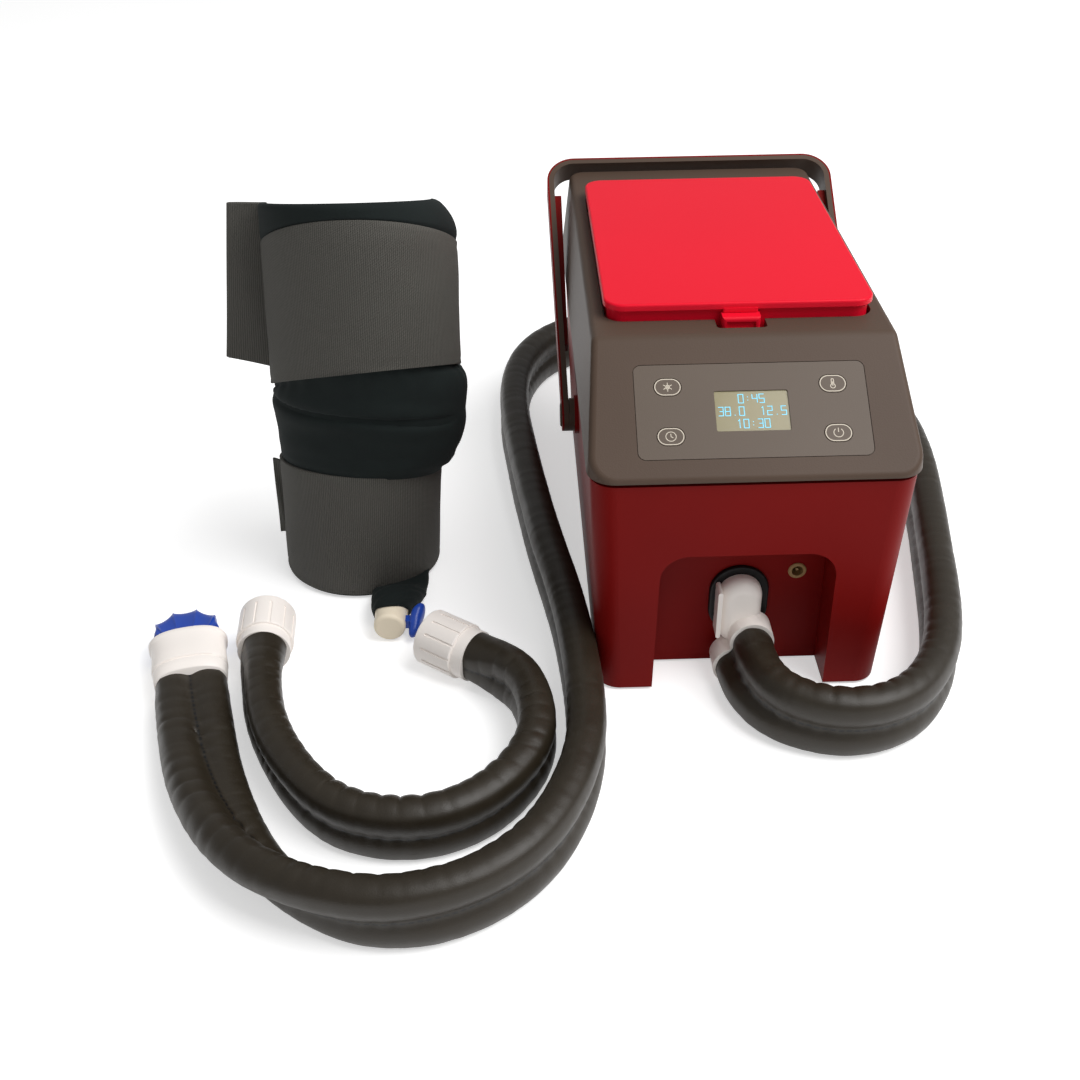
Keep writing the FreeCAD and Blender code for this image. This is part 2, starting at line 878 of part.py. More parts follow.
def lid():
    middle = (0.0, lid_middle)
    plate = slab(lid_width, lid_length, lid_corner, lid_bottom, lid_top, middle)
    rim = [edge for edge in plate.Edges if edge.BoundBox.ZMin > lid_top - 0.01]
    plate = plate.makeFillet(lid_edge_round, rim)
    skirt = frame_slab(
        skirt_width,
        skirt_length,
        lid_corner - skirt_inset,
        skirt_wall,
        skirt_bottom,
        lid_bottom + 0.5,
        middle,
    )
    pieces = [plate, skirt]
    for side in (-1, 1):
        x = side * hinge_spacing / 2 - knuckle_length / 2
        knuckle = cylinder(
            knuckle_radius, Vector(x, hinge_y, hinge_z), Vector(1, 0, 0), knuckle_length
        )
        web = block(
            Vector(x, lid_back - skirt_inset - skirt_wall, hinge_z),
            Vector(x + knuckle_length, hinge_y, hinge_z + knuckle_radius),
        )
        pieces += [knuckle, web]
    brow = slab(latch_width - 2.0, 5.0, 1.0, lid_bottom - 2.0, lid_bottom + 1.0, (0.0, lid_front + 1.6))
    pieces.append(brow)
    body = fuse_all(pieces)
    cuts = []
    for side in (-1, 1):
        x = side * hinge_spacing / 2 - knuckle_length
        cuts.append(
            cylinder(
                hinge_pin_radius + bearing_gap,
                Vector(x, hinge_y, hinge_z),
                Vector(1, 0, 0),
                2 * knuckle_length,
            )
        )
    cuts.append(latch_slot())
    return cut_all(body, cuts)


def latch_slot():
    """Slot in the front of the skirt that the latch's stem slides in."""
    front = lid_front + skirt_inset
    return block(
        Vector(-latch_stem_width / 2 - 0.25, front - 1.0, latch_low() + 2.5),
        Vector(latch_stem_width / 2 + 0.25, front + skirt_wall + 1.0, latch_high() - 2.0),
    )


latch_stem_width = 14.0


def latch_high():
    return lid_bottom - 2.3


def latch_low():
    return latch_high() - latch_height


def lid_latch():
    """Press tab in front of the skirt, with a stem and a keeper plate behind it."""
    front = lid_front + skirt_inset
    tab = block(
        Vector(-latch_width / 2, front - latch_reach, latch_low()),
        Vector(latch_width / 2, front - latch_travel - 0.2, latch_high()),
    )
    soft = [
        edge
        for edge in tab.Edges
        if edge.BoundBox.YMax < front - latch_reach + 0.01
    ]
    tab = tab.makeFillet(2.0, soft)
    finger = block(
        Vector(-latch_width / 2 + 3.0, front - latch_reach - 1.0, latch_low() + 3.0),
        Vector(latch_width / 2 - 3.0, front - latch_reach + 1.6, latch_high() - 3.0),
    )
    stem = block(
        Vector(-latch_stem_width / 2, front - latch_travel - 0.4, latch_low() + 2.8),
        Vector(latch_stem_width / 2, front + skirt_wall + 0.4, latch_high() - 2.3),
    )
    keeper = block(
        Vector(-latch_stem_width / 2 - 2.0, front + skirt_wall + 0.2, latch_low() + 1.4),
        Vector(latch_stem_width / 2 + 2.0, front + skirt_wall + 1.8, latch_high() - 1.2),
    )
    return fuse_all([tab.cut(finger), stem, keeper])


def lid_liner():
    """Insulating plug under the lid, hollow above so that the latch has room."""
    middle = (0.0, lid_middle)
    width = tank_width - 2 * tank_wall - 2 * plug_gap
    length = tank_length - 2 * tank_wall - 2 * plug_gap
    return slab(width, length, tank_corner - 4.0, lid_bottom - plug_drop, lid_bottom, middle)


def lid_seal():
    """Rubber ring under the skirt that closes on the tank's flange."""
    return frame_slab(
        skirt_width - 0.6,
        skirt_length - 0.6,
        lid_corner - skirt_inset - 0.3,
        skirt_wall + 1.6,
        collar_bottom + seal_gap,
        skirt_bottom,
        (0.0, lid_middle),
    )


def hinge_pins():
    length = knuckle_length + 2 * turning_gap + 2 * ear_thickness
    start = Vector(hinge_spacing / 2 - length / 2, hinge_y, hinge_z)
    return both_sides(cylinder(hinge_pin_radius, start, Vector(1, 0, 0), length))


# ---------------------------------------------------------------- control panel
def key_places():
    half = key_pitch_x / 2
    return [(-half, key_high), (half, key_high), (-half, key_low), (half, key_low)]


def panel_overlay():
    sheet = slab(
        overlay_width,
        overlay_height,
        overlay_corner,
        -overlay_thickness,
        0.0,
        (0.0, overlay_low + overlay_height / 2),
    )
    cuts = [
        slab(window_width, window_height, 1.2, -5, 5, (0.0, window_low + window_height / 2))
    ]
    for place in key_places():
        cuts.append(pill(key_width + 2 * key_gap, key_height + 2 * key_gap, -5, 5, place))
    return on_panel(cut_all(sheet, cuts))


def display_lens():
    lens = slab(
        window_width + 2 * lens_margin,
        window_height + 2 * lens_margin,
        1.9,
        -overlay_thickness - lens_thickness,
        -overlay_thickness,
        (0.0, window_low + window_height / 2),
    )
    return on_panel(lens)


def display_module():
    """Dot-matrix display: a framed glass on its own carrier, standing on the control board."""
    middle = (0.0, window_low + window_height / 2)
    top = -overlay_thickness - lens_thickness
    glass = slab(window_width + 2.0, window_height + 2.0, 1.0, top - 2.6, top, middle)
    carrier = slab(window_width + 14.0, window_height + 6.0, 1.5, -board_depth, top - 2.4, middle)
    return on_panel(glass.fuse(carrier))


def key(place):
    """A pill key with a keeping flange under the cover wall and a stem over its switch."""
    cap = pill(key_width, key_height, -cover_wall - 0.4, 0.15, place)
    rim = [edge for edge in cap.Edges if edge.BoundBox.ZMin > 0.1]
    cap = cap.makeFillet(0.35, rim)
    flange_top = -cover_wall - 0.1
    flange = pill(
        key_width + 2 * key_gap + 2 * key_flange,
        key_height + 2 * key_gap + 2 * key_flange,
        flange_top - key_flange_thickness,
        flange_top,
        place,
    )
    return on_panel(cap.fuse(flange))


def key_switches():
    switches = []
    top = -cover_wall - 0.1 - key_flange_thickness - key_travel - 0.1
    for place in key_places():
        body = slab(switch_size, switch_size, 0.6, -board_depth, top - 1.2, place)
        plunger = cylinder(1.7, Vector(place[0], place[1], top - 1.3), up, 1.3)
        switches.append(on_panel(body.fuse(plunger)))
    return Part.makeCompound(switches)


def control_board():
    board = slab(
        board_width,
        board_height,
        3.0,
        -board_depth - board_thickness,
        -board_depth,
        (0.0, overlay_low + overlay_height / 2),
    )
    chips = [
        slab(12.0, 12.0, 0.6, -board_depth - board_thickness - 1.8, -board_depth - board_thickness + 0.2, (-20.0, 40.0)),
        slab(22.0, 8.0, 0.6, -board_depth - board_thickness - 6.0, -board_depth - board_thickness + 0.2, (34.0, 34.0)),
    ]
    return on_panel(fuse_all([board] + chips))


# ---------------------------------------------------------------- handle
def bail_block(offset, corner):
    """Solid whose outline is the bail's inner face moved outwards, wider at the crossbar."""
    low = pivot_height - 3 * hub_radius
    top = pivot_height + handle_reach + offset
    spread = (handle_width - hub_width) / 2 / handle_reach
    half_low = hub_width / 2 + offset - spread * (pivot_height - low)
    half_top = hub_width / 2 + offset + spread * (top - pivot_height)
    depth = strap_width / 2 + 1.0
    points = [
        Vector(-half_low, -depth, low),
        Vector(half_low, -depth, low),
        Vector(half_top, -depth, top),
        Vector(-half_top, -depth, top),
    ]
    solid = Part.Face(Part.makePolygon(points + points[:1])).extrude(Vector(0, 2 * depth, 0))
    upper = [
        edge for edge in solid.Edges if edge.BoundBox.ZMin > top - 0.01 and edge.BoundBox.XLength < 1
    ]
    return solid.makeFillet(corner + offset, upper)


def bail_layer(inner, outer):
    """One layer of the bail between two offsets from its inner face, with round hubs."""
    solid = bail_block(outer, bail_corner).cut(bail_block(inner, bail_corner))
    reach = body_width
    bar = block(
        Vector(-reach, -strap_width / 2, pivot_height),
        Vector(reach, strap_width / 2, pivot_height + handle_reach + outer + 1.0),
    )
    hub = pivot_disc(hub_radius)
    return solid.common(bar.fuse(hub))


def pivot_disc(radius):
    return cylinder(
        radius, Vector(-body_width, 0, pivot_height), Vector(1, 0, 0), 2 * body_width
    )


def to_rest(shape):
    """Folds an upright handle piece back to its resting angle."""
    return turned(shape, pivot, Vector(1, 0, 0), handle_rest_angle - 90.0)


def handle_frame():
    strap = bail_layer(0.0, strap_thickness)
    return to_rest(strap.cut(pivot_disc(handle_pin_radius + bearing_gap)))


def handle_trim():
    """Coloured strip wrapped round the outside of the bail."""
    strap = bail_layer(strap_thickness, strap_thickness + trim_thickness)
    return to_rest(strap.cut(pivot_disc(cap_radius + turning_gap)))


def handle_ribs():
    """Stiffening rib on the inner face of each arm."""
    bar = block(
        Vector(rib_inner, -rib_width / 2, pivot_height + rib_start),
        Vector(arm_outer, rib_width / 2, pivot_height + rib_end),
    )
    return to_rest(both_sides(bar.common(bail_block(0.0, bail_corner))))


def handle_posts():
    """Fixed posts on the housing's side bosses that the handle turns on."""
    flange = cylinder(
        hub_radius,
        Vector(boss_face, 0, pivot_height),
        Vector(1, 0, 0),
        arm_inner - turning_gap - boss_face,
    )
    pin = cylinder(
        handle_pin_radius,
        Vector(boss_face - 9.0, 0, pivot_height),
        Vector(1, 0, 0),
        post_tip + 9.0 - boss_face,
    )
    return both_sides(flange.fuse(pin))


def handle_caps():
    """Round caps that close the ends of the posts."""
    start = Vector(post_tip, 0, pivot_height)
    cap = cylinder(cap_radius, start, Vector(1, 0, 0), cap_thickness)
    rim = [edge for edge in cap.Edges if edge.BoundBox.XMin > start.x + cap_thickness - 0.01]
    return both_sides(cap.makeFillet(1.0, rim))


# ---------------------------------------------------------------- port, elbow and jack
def port_bezel():
    ring = upright_pill(port_width, port_height, recess_y - bezel_proud, recess_y)
    front = [edge for edge in ring.Edges if edge.BoundBox.YMax < recess_y - bezel_proud + 0.01]
    ring = ring.makeFillet(1.4, front)
    sleeve = upright_pill(
        port_width - 2 * bezel_ring + 4.0,
        port_height - 2 * bezel_ring + 4.0,
        recess_y - 0.5,
        recess_y + recess_wall + 8.0,
    )
    hole = upright_pill(
        port_width - 2 * bezel_ring,
        port_height - 2 * bezel_ring,
        recess_y - 10.0,
        recess_y + 30.0,
    )
    return ring.fuse(sleeve).cut(hole)


def port_manifold():
    """Valve block behind the port, with a stub for each of the two inner tubes."""
    start = recess_y + recess_wall + 8.0
    body = upright_pill(port_width - 4.0, port_height - 6.0, start, start + 16.0)
    stubs = []
    for offset in (-1, 1):
        at = Vector(port_x, start + 15.0, port_middle + offset * main_spacing() / 2)
        stubs.append(cylinder(tube_radius - 1.0, at, Vector(0, 1, 0), 13.0))
    return fuse_all([body] + stubs)


def main_spacing():
    return main_pair - lumen


elbow_pair_tilt = 27.0      # the two sockets lean this much from upright


def socket_places():
    reach = main_spacing() / 2
    tilt = math.radians(elbow_pair_tilt)
    x = main_route[0][0]
    z = main_height + 1.2
    return [
        (x + reach * math.sin(tilt), z + reach * math.cos(tilt)),
        (x - reach * math.sin(tilt), z - reach * math.cos(tilt)),
    ]


def elbow_coupling():
    """Moulded coupling: a nose in the port, a domed hood and two forward sockets."""
    end = main_route[0][1]
    nose_width = port_width - 2 * bezel_ring - 2 * nose_gap
    nose_height = port_height - 2 * bezel_ring - 2 * nose_gap
    nose = upright_pill(nose_width, nose_height, recess_y - 4.0, recess_y + nose_depth)
    low = main_height
    hood_height = port_middle + nose_height / 2 + hood_step - low
    hood = upright_pill(
        nose_width + 2 * hood_step,
        hood_height,
        recess_y - elbow_front,
        recess_y - bezel_proud - 0.3,
        port_x,
        low + hood_height / 2,
    )
    brow = [
        edge
        for edge in hood.Edges
        if edge.BoundBox.YMax < recess_y - elbow_front + 0.01 and edge.BoundBox.ZMax > low + 20
    ]
    hood = hood.makeFillet(hood_round, brow)
    shoulder = recess_y - bezel_proud - 0.3 - end - socket_length
    sockets = []
    for x, z in socket_places():
        outer = lumen / 2 + socket_wall
        sockets.append(
            cylinder(
                outer, Vector(x, end + socket_length, z), Vector(0, -1, 0), socket_length
            )
        )
        sockets.append(
            Part.makeCone(
                outer, outer * 0.7, shoulder, Vector(x, end + socket_length, z), Vector(0, 1, 0)
            )
        )
    wing = upright_pill(
        wing_thickness,
        nose_height - 4.0,
        recess_y - elbow_front - 1.0,
        recess_y - bezel_proud - 0.3,
        port_x - nose_width / 2 - wing_thickness / 2 + 0.6,
        port_middle - 3.0,
    )
    return fuse_all([nose, hood, wing] + sockets)


def dc_jack():
    at = Vector(jack_x, recess_y, jack_height)
    ring = cylinder(jack_ring_radius, at + Vector(0, -1.0, 0), Vector(0, 1, 0), 1.0)
    edge = [edge for edge in ring.Edges if edge.BoundBox.YMax < recess_y - 0.99]
    ring = ring.makeChamfer(0.5, edge)
    body = cylinder(jack_body_radius, at, Vector(0, 1, 0), jack_depth)
    bore = cylinder(
        jack_bore_radius, at + Vector(0, -2.0, 0), Vector(0, 1, 0), jack_depth - 1.0
    )
    pin = cylinder(jack_pin_radius, at + Vector(0, 1.0, 0), Vector(0, 1, 0), jack_depth - 2.0)
    return ring.fuse(body).cut(bore).fuse(pin)


# ---------------------------------------------------------------- hoses
def hose_path(points, height, name):
    """Straight runs joined by tangent arcs, each as large as its two runs allow."""
    places = [Vector(x, y, height) for x, y in points]
    edges = []
    radii = []
    start = places[0]
    for before, corner, after in zip(places, places[1:], places[2:]):
        incoming = (corner - before).normalize()
        outgoing = (after - corner).normalize()
        turn = incoming.getAngle(outgoing)
        shorter = min(before.distanceToPoint(corner), corner.distanceToPoint(after))
        radius = bend_share * shorter / math.tan(turn / 2)
        radii.append(radius)
        tangent = radius * math.tan(turn / 2)
        arc_start = corner - incoming * tangent
        arc_end = corner + outgoing * tangent
        inward = (outgoing - incoming).normalize()
        middle = corner + inward * (radius / math.cos(turn / 2) - radius)
        edges.append(Part.makeLine(start, arc_start))
        edges.append(Part.Arc(arc_start, middle, arc_end).toShape())
        start = arc_end
    edges.append(Part.makeLine(start, places[-1]))
    print(name, "bend radii", [round(radius) for radius in radii])
    return Part.Wire(edges)


def pair_section(at, direction, pair, tube, lean):
    """Outline of the two tubes together, the given angle from upright, across the direction."""
    flat = rounded_rectangle(tube, pair, tube / 2)
    flat.rotate(Vector(0, 0, 0), up, lean)
    heading = math.degrees(math.atan2(direction.y, direction.x))
    frame = Placement(Vector(0, 0, 0), Rotation(Vector(1, 0, 0), 90))
    aim = Placement(at, Rotation(up, heading + 90))
    flat.Placement = aim.multiply(frame).multiply(flat.Placement)
    return flat


def section_area(pair, tube):
    return math.pi * tube * tube / 4 + tube * (pair - tube)


def swept_pair(points, height, pair, tube, name):
    path = hose_path(points, height, name)
    first = Vector(points[0][0], points[0][1], height)
    heading = Vector(points[1][0] - points[0][0], points[1][1] - points[0][1], 0)
    outline = pair_section(first, heading, pair, tube, 0.0)
    solid = path.makePipeShell([outline], True, False)
    expected = section_area(pair, tube) * path.Length
    print(name, "length", round(path.Length), "volume share", round(solid.Volume / expected, 4))
    return solid


def hose_main():
    """Twin hose that stands on edge and turns flat just before its collar."""
    before = Vector(main_route[-2][0], main_route[-2][1], 0)
    last = Vector(main_route[-1][0], main_route[-1][1], 0)
    heading = (last - before).normalize()
    turn_start = last - heading * main_twist_length
    points = main_route[:-1] + [(turn_start.x, turn_start.y)]
    upright = swept_pair(points, main_height, main_pair, lumen, "hose_main")
    flat_height = lumen / 2 + table_gap
    rings = []
    for step in range(twist_steps + 1):
        share = step / twist_steps
        lean = 90.0 * share
        height = flat_height + (main_pair - lumen) / 2 * math.cos(math.radians(lean))
        at = turn_start + heading * (main_twist_length * share) + Vector(0, 0, height)
        rings.append(pair_section(at, heading, main_pair, lumen, lean))
    twist = Part.makeLoft(rings, True, False)
    return upright.fuse(twist)


def hose_extension():
    return swept_pair(
        extension_route, extension_height, extension_pair, extension_lumen, "hose_extension"
    )


def end_frame(route, height, at_start=False):
    """Placement whose +Z runs out of the hose's end and whose +Y is up."""
    if at_start:
        tip, inner = route[0], route[1]
    else:
        tip, inner = route[-1], route[-2]
    heading = math.degrees(math.atan2(tip[1] - inner[1], tip[0] - inner[0]))
    aim = Placement(Vector(tip[0], tip[1], height), Rotation(up, heading + 90))
    return aim.multiply(Placement(Vector(0, 0, 0), Rotation(Vector(1, 0, 0), 90)))


def placed(shape, frame):
    copy = shape.copy()
    copy.Placement = frame.multiply(copy.Placement)
    return copy


def main_collar():
    """Flat coupling: a band over the hose and a wider shell that the release crown sits in."""
    round_end = collar_height / 2 - 0.5
    band = slab(collar_width - 4, collar_height - 2, round_end - 1, 0.0, band_length + 1)
    shell = slab(collar_width, collar_height, round_end, band_length, collar_length)
    rims = [edge for edge in shell.Edges if edge.BoundBox.ZLength < 0.01]
    shell = shell.makeFillet(1.4, rims)
    mouth = slab(
        crown_width + 2 * turning_gap,
        crown_height + 2 * turning_gap,
        3.0 + turning_gap,
        collar_length - crown_seat - crown_travel - turning_gap,
        collar_length + 1,
    )
    collar = band.fuse(shell).cut(mouth)
    return placed(collar, end_frame(main_route, collar_height / 2 + table_gap))


def main_crown():
    """Ribbed release button in the mouth of the main collar."""
    back = collar_length - crown_seat
    size = crown_seat + crown_reach
    lobe_height = crown_height - 2.0

    def disc(thickness, grow):
        plate = slab(
            crown_width + 2 * grow, 2 * (size + grow), crown_corner + grow, -thickness / 2, thickness / 2
        )
        plate.rotate(Vector(0, 0, 0), Vector(1, 0, 0), 90)
        plate.translate(Vector(0, 0, back))
        ahead = block(Vector(-beyond, -beyond, back), Vector(beyond, beyond, beyond))
        return plate.common(ahead)

    body = disc(crown_height, 0.0)
    rims = [edge for edge in body.Edges if edge.BoundBox.YLength < 0.01 and edge.BoundBox.ZMax > back + 1]
    body = body.makeFillet(2.9, rims)
    lobes = []
    tip = back + size
    for index in range(crown_lobes):
        x = (index - (crown_lobes - 1) / 2) * crown_lobe_pitch
        past = max(abs(x) - (crown_width / 2 - crown_corner), 0.0)
        edge = tip - crown_corner + math.sqrt(crown_corner**2 - past**2)
        lean = math.asin(past / crown_corner) * (1 if x > 0 else -1)
        sunk = crown_lobe_radius - crown_lobe_proud
        centre = Vector(x - sunk * math.sin(lean), -lobe_height / 2, edge - sunk * math.cos(lean))
        lobe = cylinder(crown_lobe_radius, centre, Vector(0, 1, 0), lobe_height)
        lobes.append(lobe.makeFillet(1.4, [e for e in lobe.Edges if len(e.Vertexes) == 1]))
    crown = fuse_all([body] + lobes)
    return placed(crown, end_frame(main_route, collar_height / 2 + table_gap))


def round_collar(frame):
    """Ribbed round coupling on an end of the extension hose, open in front."""
    total = round_collar_length + round_collar_step
    back = cylinder(round_collar_radius - 1.8, Vector(0, 0, 0), up, round_collar_step + 1)
    body = cylinder(
        round_collar_radius, Vector(0, 0, round_collar_step), up, round_collar_length
    )
    ends = [edge for edge in body.Edges if len(edge.Vertexes) == 1]
    body = body.makeFillet(1.2, ends)
    cuts = [
        cylinder(
            round_collar_bore, Vector(0, 0, total - round_collar_bore_depth), up, 30.0
        )
    ]
    for index in range(collar_grooves):
        groove = block(Vector(round_collar_radius - 0.7, -0.9, 9.0), Vector(25, 0.9, total - 7.0))
        groove.rotate(Vector(0, 0, 0), up, 360.0 / collar_grooves * (index + 0.5))
        cuts.append(groove)
    return placed(cut_all(back.fuse(body), cuts), frame)


def extension_collar_near():
    height = round_collar_radius + table_gap
    return round_collar(end_frame(extension_route, height, at_start=True))


def extension_collar_far():
    return round_collar(end_frame(extension_route, round_collar_radius + table_gap))


# ---------------------------------------------------------------- knee wrap
def wrap_form(grow):
    """The standing sleeve, its rings grown outwards by the given amount."""
    wires = []
    for height, x, y, half_width, half_depth in wrap_rings:
        ellipse = Part.Ellipse(Vector(x, y, height), half_width + grow, half_depth + grow)
        wires.append(Part.Wire(ellipse.toShape()))
    return Part.makeLoft(wires, True, True)


def slanted_space(height, fall, low, high):
    """Block between two offsets from a plane at the given height in front, falling backwards."""
    tool = block(Vector(-beyond, -beyond, low), Vector(beyond, beyond, high))
    tool.rotate(Vector(0, 0, 0), Vector(1, 0, 0), -fall)
    tool.translate(Vector(0, wrap_front(), height))
    return tool


def below_slant(shape, height, fall):
    return shape.cut(slanted_space(height, fall, 0.0, beyond))


def above_slant(shape, height, fall):
    return shape.cut(slanted_space(height, fall, -beyond, 0.0))


def wrap_front():
    ring = wrap_rings[-2]
    return ring[2] - ring[4]


def wrap_body():
    sleeve = wrap_form(0.0).cut(wrap_form(-wrap_wall))
    lip = slab(tongue_width, 2 * tongue_reach, 12.0, 0.0, tongue_height, tongue_middle)
    lip = lip.cut(wrap_form(-1.0))
    return below_slant(sleeve.fuse(lip), wrap_height, wrap_slant)


def wrap_bladder():
    """Water pad that lines the sleeve."""
    pad = wrap_form(-wrap_wall).cut(wrap_form(-wrap_wall - wrap_lining))
    return below_slant(pad, wrap_height - 4.0, wrap_slant)


def wrap_strap(edges):
    low, high, low_fall, high_fall = edges
    outer = wrap_form(strap_layer)
    return above_slant(below_slant(outer, high, high_fall), low, low_fall).cut(wrap_form(0.0))


def tongue_space():
    return slab(
        tongue_width + 0.4, 2 * tongue_reach + 0.4, 12.2, -1.0, tongue_height + 0.2, tongue_middle
    )


def strap_upper():
    return wrap_strap(upper_strap)


def strap_lower():
    return wrap_strap(lower_strap).cut(tongue_space())


def strap_tail():
    """Free end of the upper strap that stands out behind the leg."""
    plane = wrap_foot[1] + tail_depth
    points = [Vector(wrap_foot[0] + x, plane, height) for x, height in tail_outline]
    face = Part.Face(Part.makePolygon(points + points[:1]))
    return face.extrude(Vector(0, tail_thickness, 0)).cut(wrap_form(strap_layer))


def hook_tab():
    """Small fastening tab on the edge of the lower strap."""
    ring = wrap_rings[1]
    left = ring[1] - ring[3] - strap_layer
    tab = block(
        Vector(left - hook_width, ring[2] - 6.0, 30.0), Vector(left + 8.0, ring[2] - 4.0, 96.0)
    )
    return tab.cut(wrap_form(strap_layer))


def coupling_start():
    return tongue_middle[1] - tongue_reach


def wrap_coupling():
    at = Vector(wrap_coupling_middle, coupling_start(), wrap_coupling_radius + 1.2)
    barrel = cylinder(wrap_coupling_radius, at, Vector(0, -1, 0), wrap_coupling_length)
    front = [
        edge
        for edge in barrel.Edges
        if edge.BoundBox.YMax < at.y - wrap_coupling_length + 0.01
    ]
    barrel = barrel.makeFillet(3.0, front)
    band = cylinder(wrap_coupling_radius + 0.9, at + Vector(0, -6.0, 0), Vector(0, -1, 0), 4.0)
    return barrel.fuse(band).cut(lever_stem(stem_gap))


def lever_stem(grow):
    """Stem of the thumb lever; grown, it is the pocket that the stem slides in."""
    tip = wrap_coupling_middle + wrap_coupling_radius - 3.5
    y = coupling_start() - wrap_coupling_length + 9.0
    inner = tip - (wrap_lever_travel + grow if grow else 0.0)
    return block(
        Vector(inner, y - 3.5 - grow, wrap_coupling_radius - 3.5 - grow),
        Vector(tip + wrap_lever_travel + 5.5, y + 3.5 + grow, wrap_coupling_radius + 3.5 + grow),
    )


def wrap_lever():
    """Thumb lever on the side of the wrap's coupling."""
    x = wrap_coupling_middle + wrap_coupling_radius + wrap_lever_travel + 0.4
    y = coupling_start() - wrap_coupling_length
    outline = [
        Vector(x, y - 2.0, 4.0),
        Vector(x, y + 17.0, 4.0),
        Vector(x + 11.0, y + 23.0, 4.0),
        Vector(x + 13.5, y + 20.0, 4.0),
        Vector(x + 12.5, y + 12.0, 4.0),
        Vector(x + 4.0, y - 3.0, 4.0),
    ]
    plate = Part.Face(Part.makePolygon(outline + outline[:1])).extrude(Vector(0, 0, 17.0))
    sides = [edge for edge in plate.Edges if edge.BoundBox.ZLength > 16.0]
    return plate.makeFillet(1.0, sides).fuse(lever_stem(0.0))


# ---------------------------------------------------------------- works inside
def sink_middle():
    return tank_bottom + 46.0


def thermo_block():
    """Cold block on the tank's back wall with its two heat pumps."""
    y = tank_back - tank_taper * (collar_bottom - sink_middle()) / (collar_bottom - tank_bottom)
    half = cooler_size / 2
    return block(
        Vector(-half, y + 0.0, sink_middle() - half),
        Vector(half, tank_back + cooler_thickness, sink_middle() + half),
    ).cut(tank_outside())


def tank_outside():
    middle = (0.0, lid_middle)
    return taper(
        rounded_rectangle(
            tank_width - 2 * tank_taper, tank_length - 2 * tank_taper, tank_corner, tank_bottom, middle
        ),
        rounded_rectangle(tank_width, tank_length, tank_corner, collar_bottom, middle),
    )


def heat_sink():
    start = tank_back + cooler_thickness
    half = sink_size / 2
    base = block(
        Vector(-half, start, sink_middle() - half),
        Vector(half, start + sink_base, sink_middle() + half),
    )
    fins = []
    pitch = (sink_size - sink_fin_thickness) / (sink_fins - 1)
    for index in range(sink_fins):
        x = -half + index * pitch
        fins.append(
            block(
                Vector(x, start + sink_base - 0.2, sink_middle() - half),
                Vector(x + sink_fin_thickness, start + sink_base + sink_fin_height, sink_middle() + half),
            )
        )
    return fuse_all([base] + fins)


def fan_start():
    return tank_back + cooler_thickness + sink_base + sink_fin_height


def fan_frame():
    start = fan_start()
    middle = Vector(0, start, sink_middle())
    frame = slab(fan_size, fan_size, 5.0, 0.0, fan_depth)
    frame.rotate(Vector(0, 0, 0), Vector(1, 0, 0), -90)
    frame.translate(middle)
    bore = cylinder(fan_bore, middle + Vector(0, -1, 0), Vector(0, 1, 0), fan_depth + 2)
    frame = frame.cut(bore)
    hub = cylinder(fan_hub, middle + Vector(0, fan_depth - 3.0, 0), Vector(0, 1, 0), 3.0)
    shaft = cylinder(
        fan_shaft_radius, middle + Vector(0, 5.0, 0), Vector(0, 1, 0), fan_depth - 6.0
    )
    struts = []
    for index in range(4):
        strut = block(Vector(fan_hub - 2, fan_depth - 3.0, -1.6), Vector(fan_bore + 1.5, fan_depth, 1.6))
        strut.rotate(Vector(0, 0, 0), Vector(0, 1, 0), 90 * index + 45)
        strut.translate(middle)
        struts.append(strut)
    return fuse_all([frame, hub, shaft] + struts)


def fan_rotor():
    middle = Vector(0, fan_start() + 1.5, sink_middle())
    length = fan_depth - 5.5
    hub = cylinder(fan_hub, middle, Vector(0, 1, 0), length)
    blades = []
    for index in range(fan_blades):
        blade = block(Vector(fan_hub - 2, -0.8, -6.5), Vector(fan_bore - fan_clearance, 0.8, 6.5))
        blade.rotate(Vector(0, 0, 0), Vector(1, 0, 0), 40)
        blade.rotate(Vector(0, 0, 0), Vector(0, 1, 0), 360.0 / fan_blades * index)
        blade.translate(middle + Vector(0, length / 2, 0))
        blades.append(blade)
    rotor = fuse_all([hub] + blades)
    bore = cylinder(
        fan_shaft_radius + bearing_gap, middle + Vector(0, 3.0, 0), Vector(0, 1, 0), length
    )
    return rotor.cut(bore)


def plate_top():
    """Upper face of the base plate, which carries the pump and the power board."""
    return foot_drop + plate_thickness


def pump_height():
    return plate_top() + pump_radius + 3.0


def pump_body():
    """Motor can, volute and two stubs, on a foot that stands on the housing floor."""
    height = pump_height()
    start = Vector(pump_x, pump_y, height)
    motor = cylinder(pump_radius - 3.0, start + Vector(0, 14, 0), Vector(0, 1, 0), pump_length - 14)
    volute = cylinder(pump_radius, start, Vector(0, 1, 0), 16.0)
    chamber = cylinder(impeller_radius + 1.5, start + Vector(0, 3, 0), Vector(0, 1, 0), 10.0)
    foot = block(
        Vector(pump_x - 16, pump_y, plate_top()),
        Vector(pump_x + 16, pump_y + pump_length - 6, height - 6),
    )
    inlet = cylinder(tube_radius + 1.5, start + Vector(0, -9, 0), Vector(0, 1, 0), 10.0)
    bore = cylinder(tube_radius - 1.0, start + Vector(0, -10, 0), Vector(0, 1, 0), 14.0)
    shaft = cylinder(2.0, start + Vector(0, 5, 0), Vector(0, 1, 0), 12.0)
    outlet = cylinder(tube_radius, pump_outlet(), Vector(-1, 0, 0), pump_radius)
    return fuse_all([motor, volute, foot, inlet, outlet]).cut(chamber).cut(bore).fuse(shaft)


def pump_outlet():
    """End of the stub on the side of the pump, at the height of the port's lower stub."""
    return Vector(
        pump_x + pump_radius + 1.0, pump_y + 8.0, port_middle - main_spacing() / 2
    )


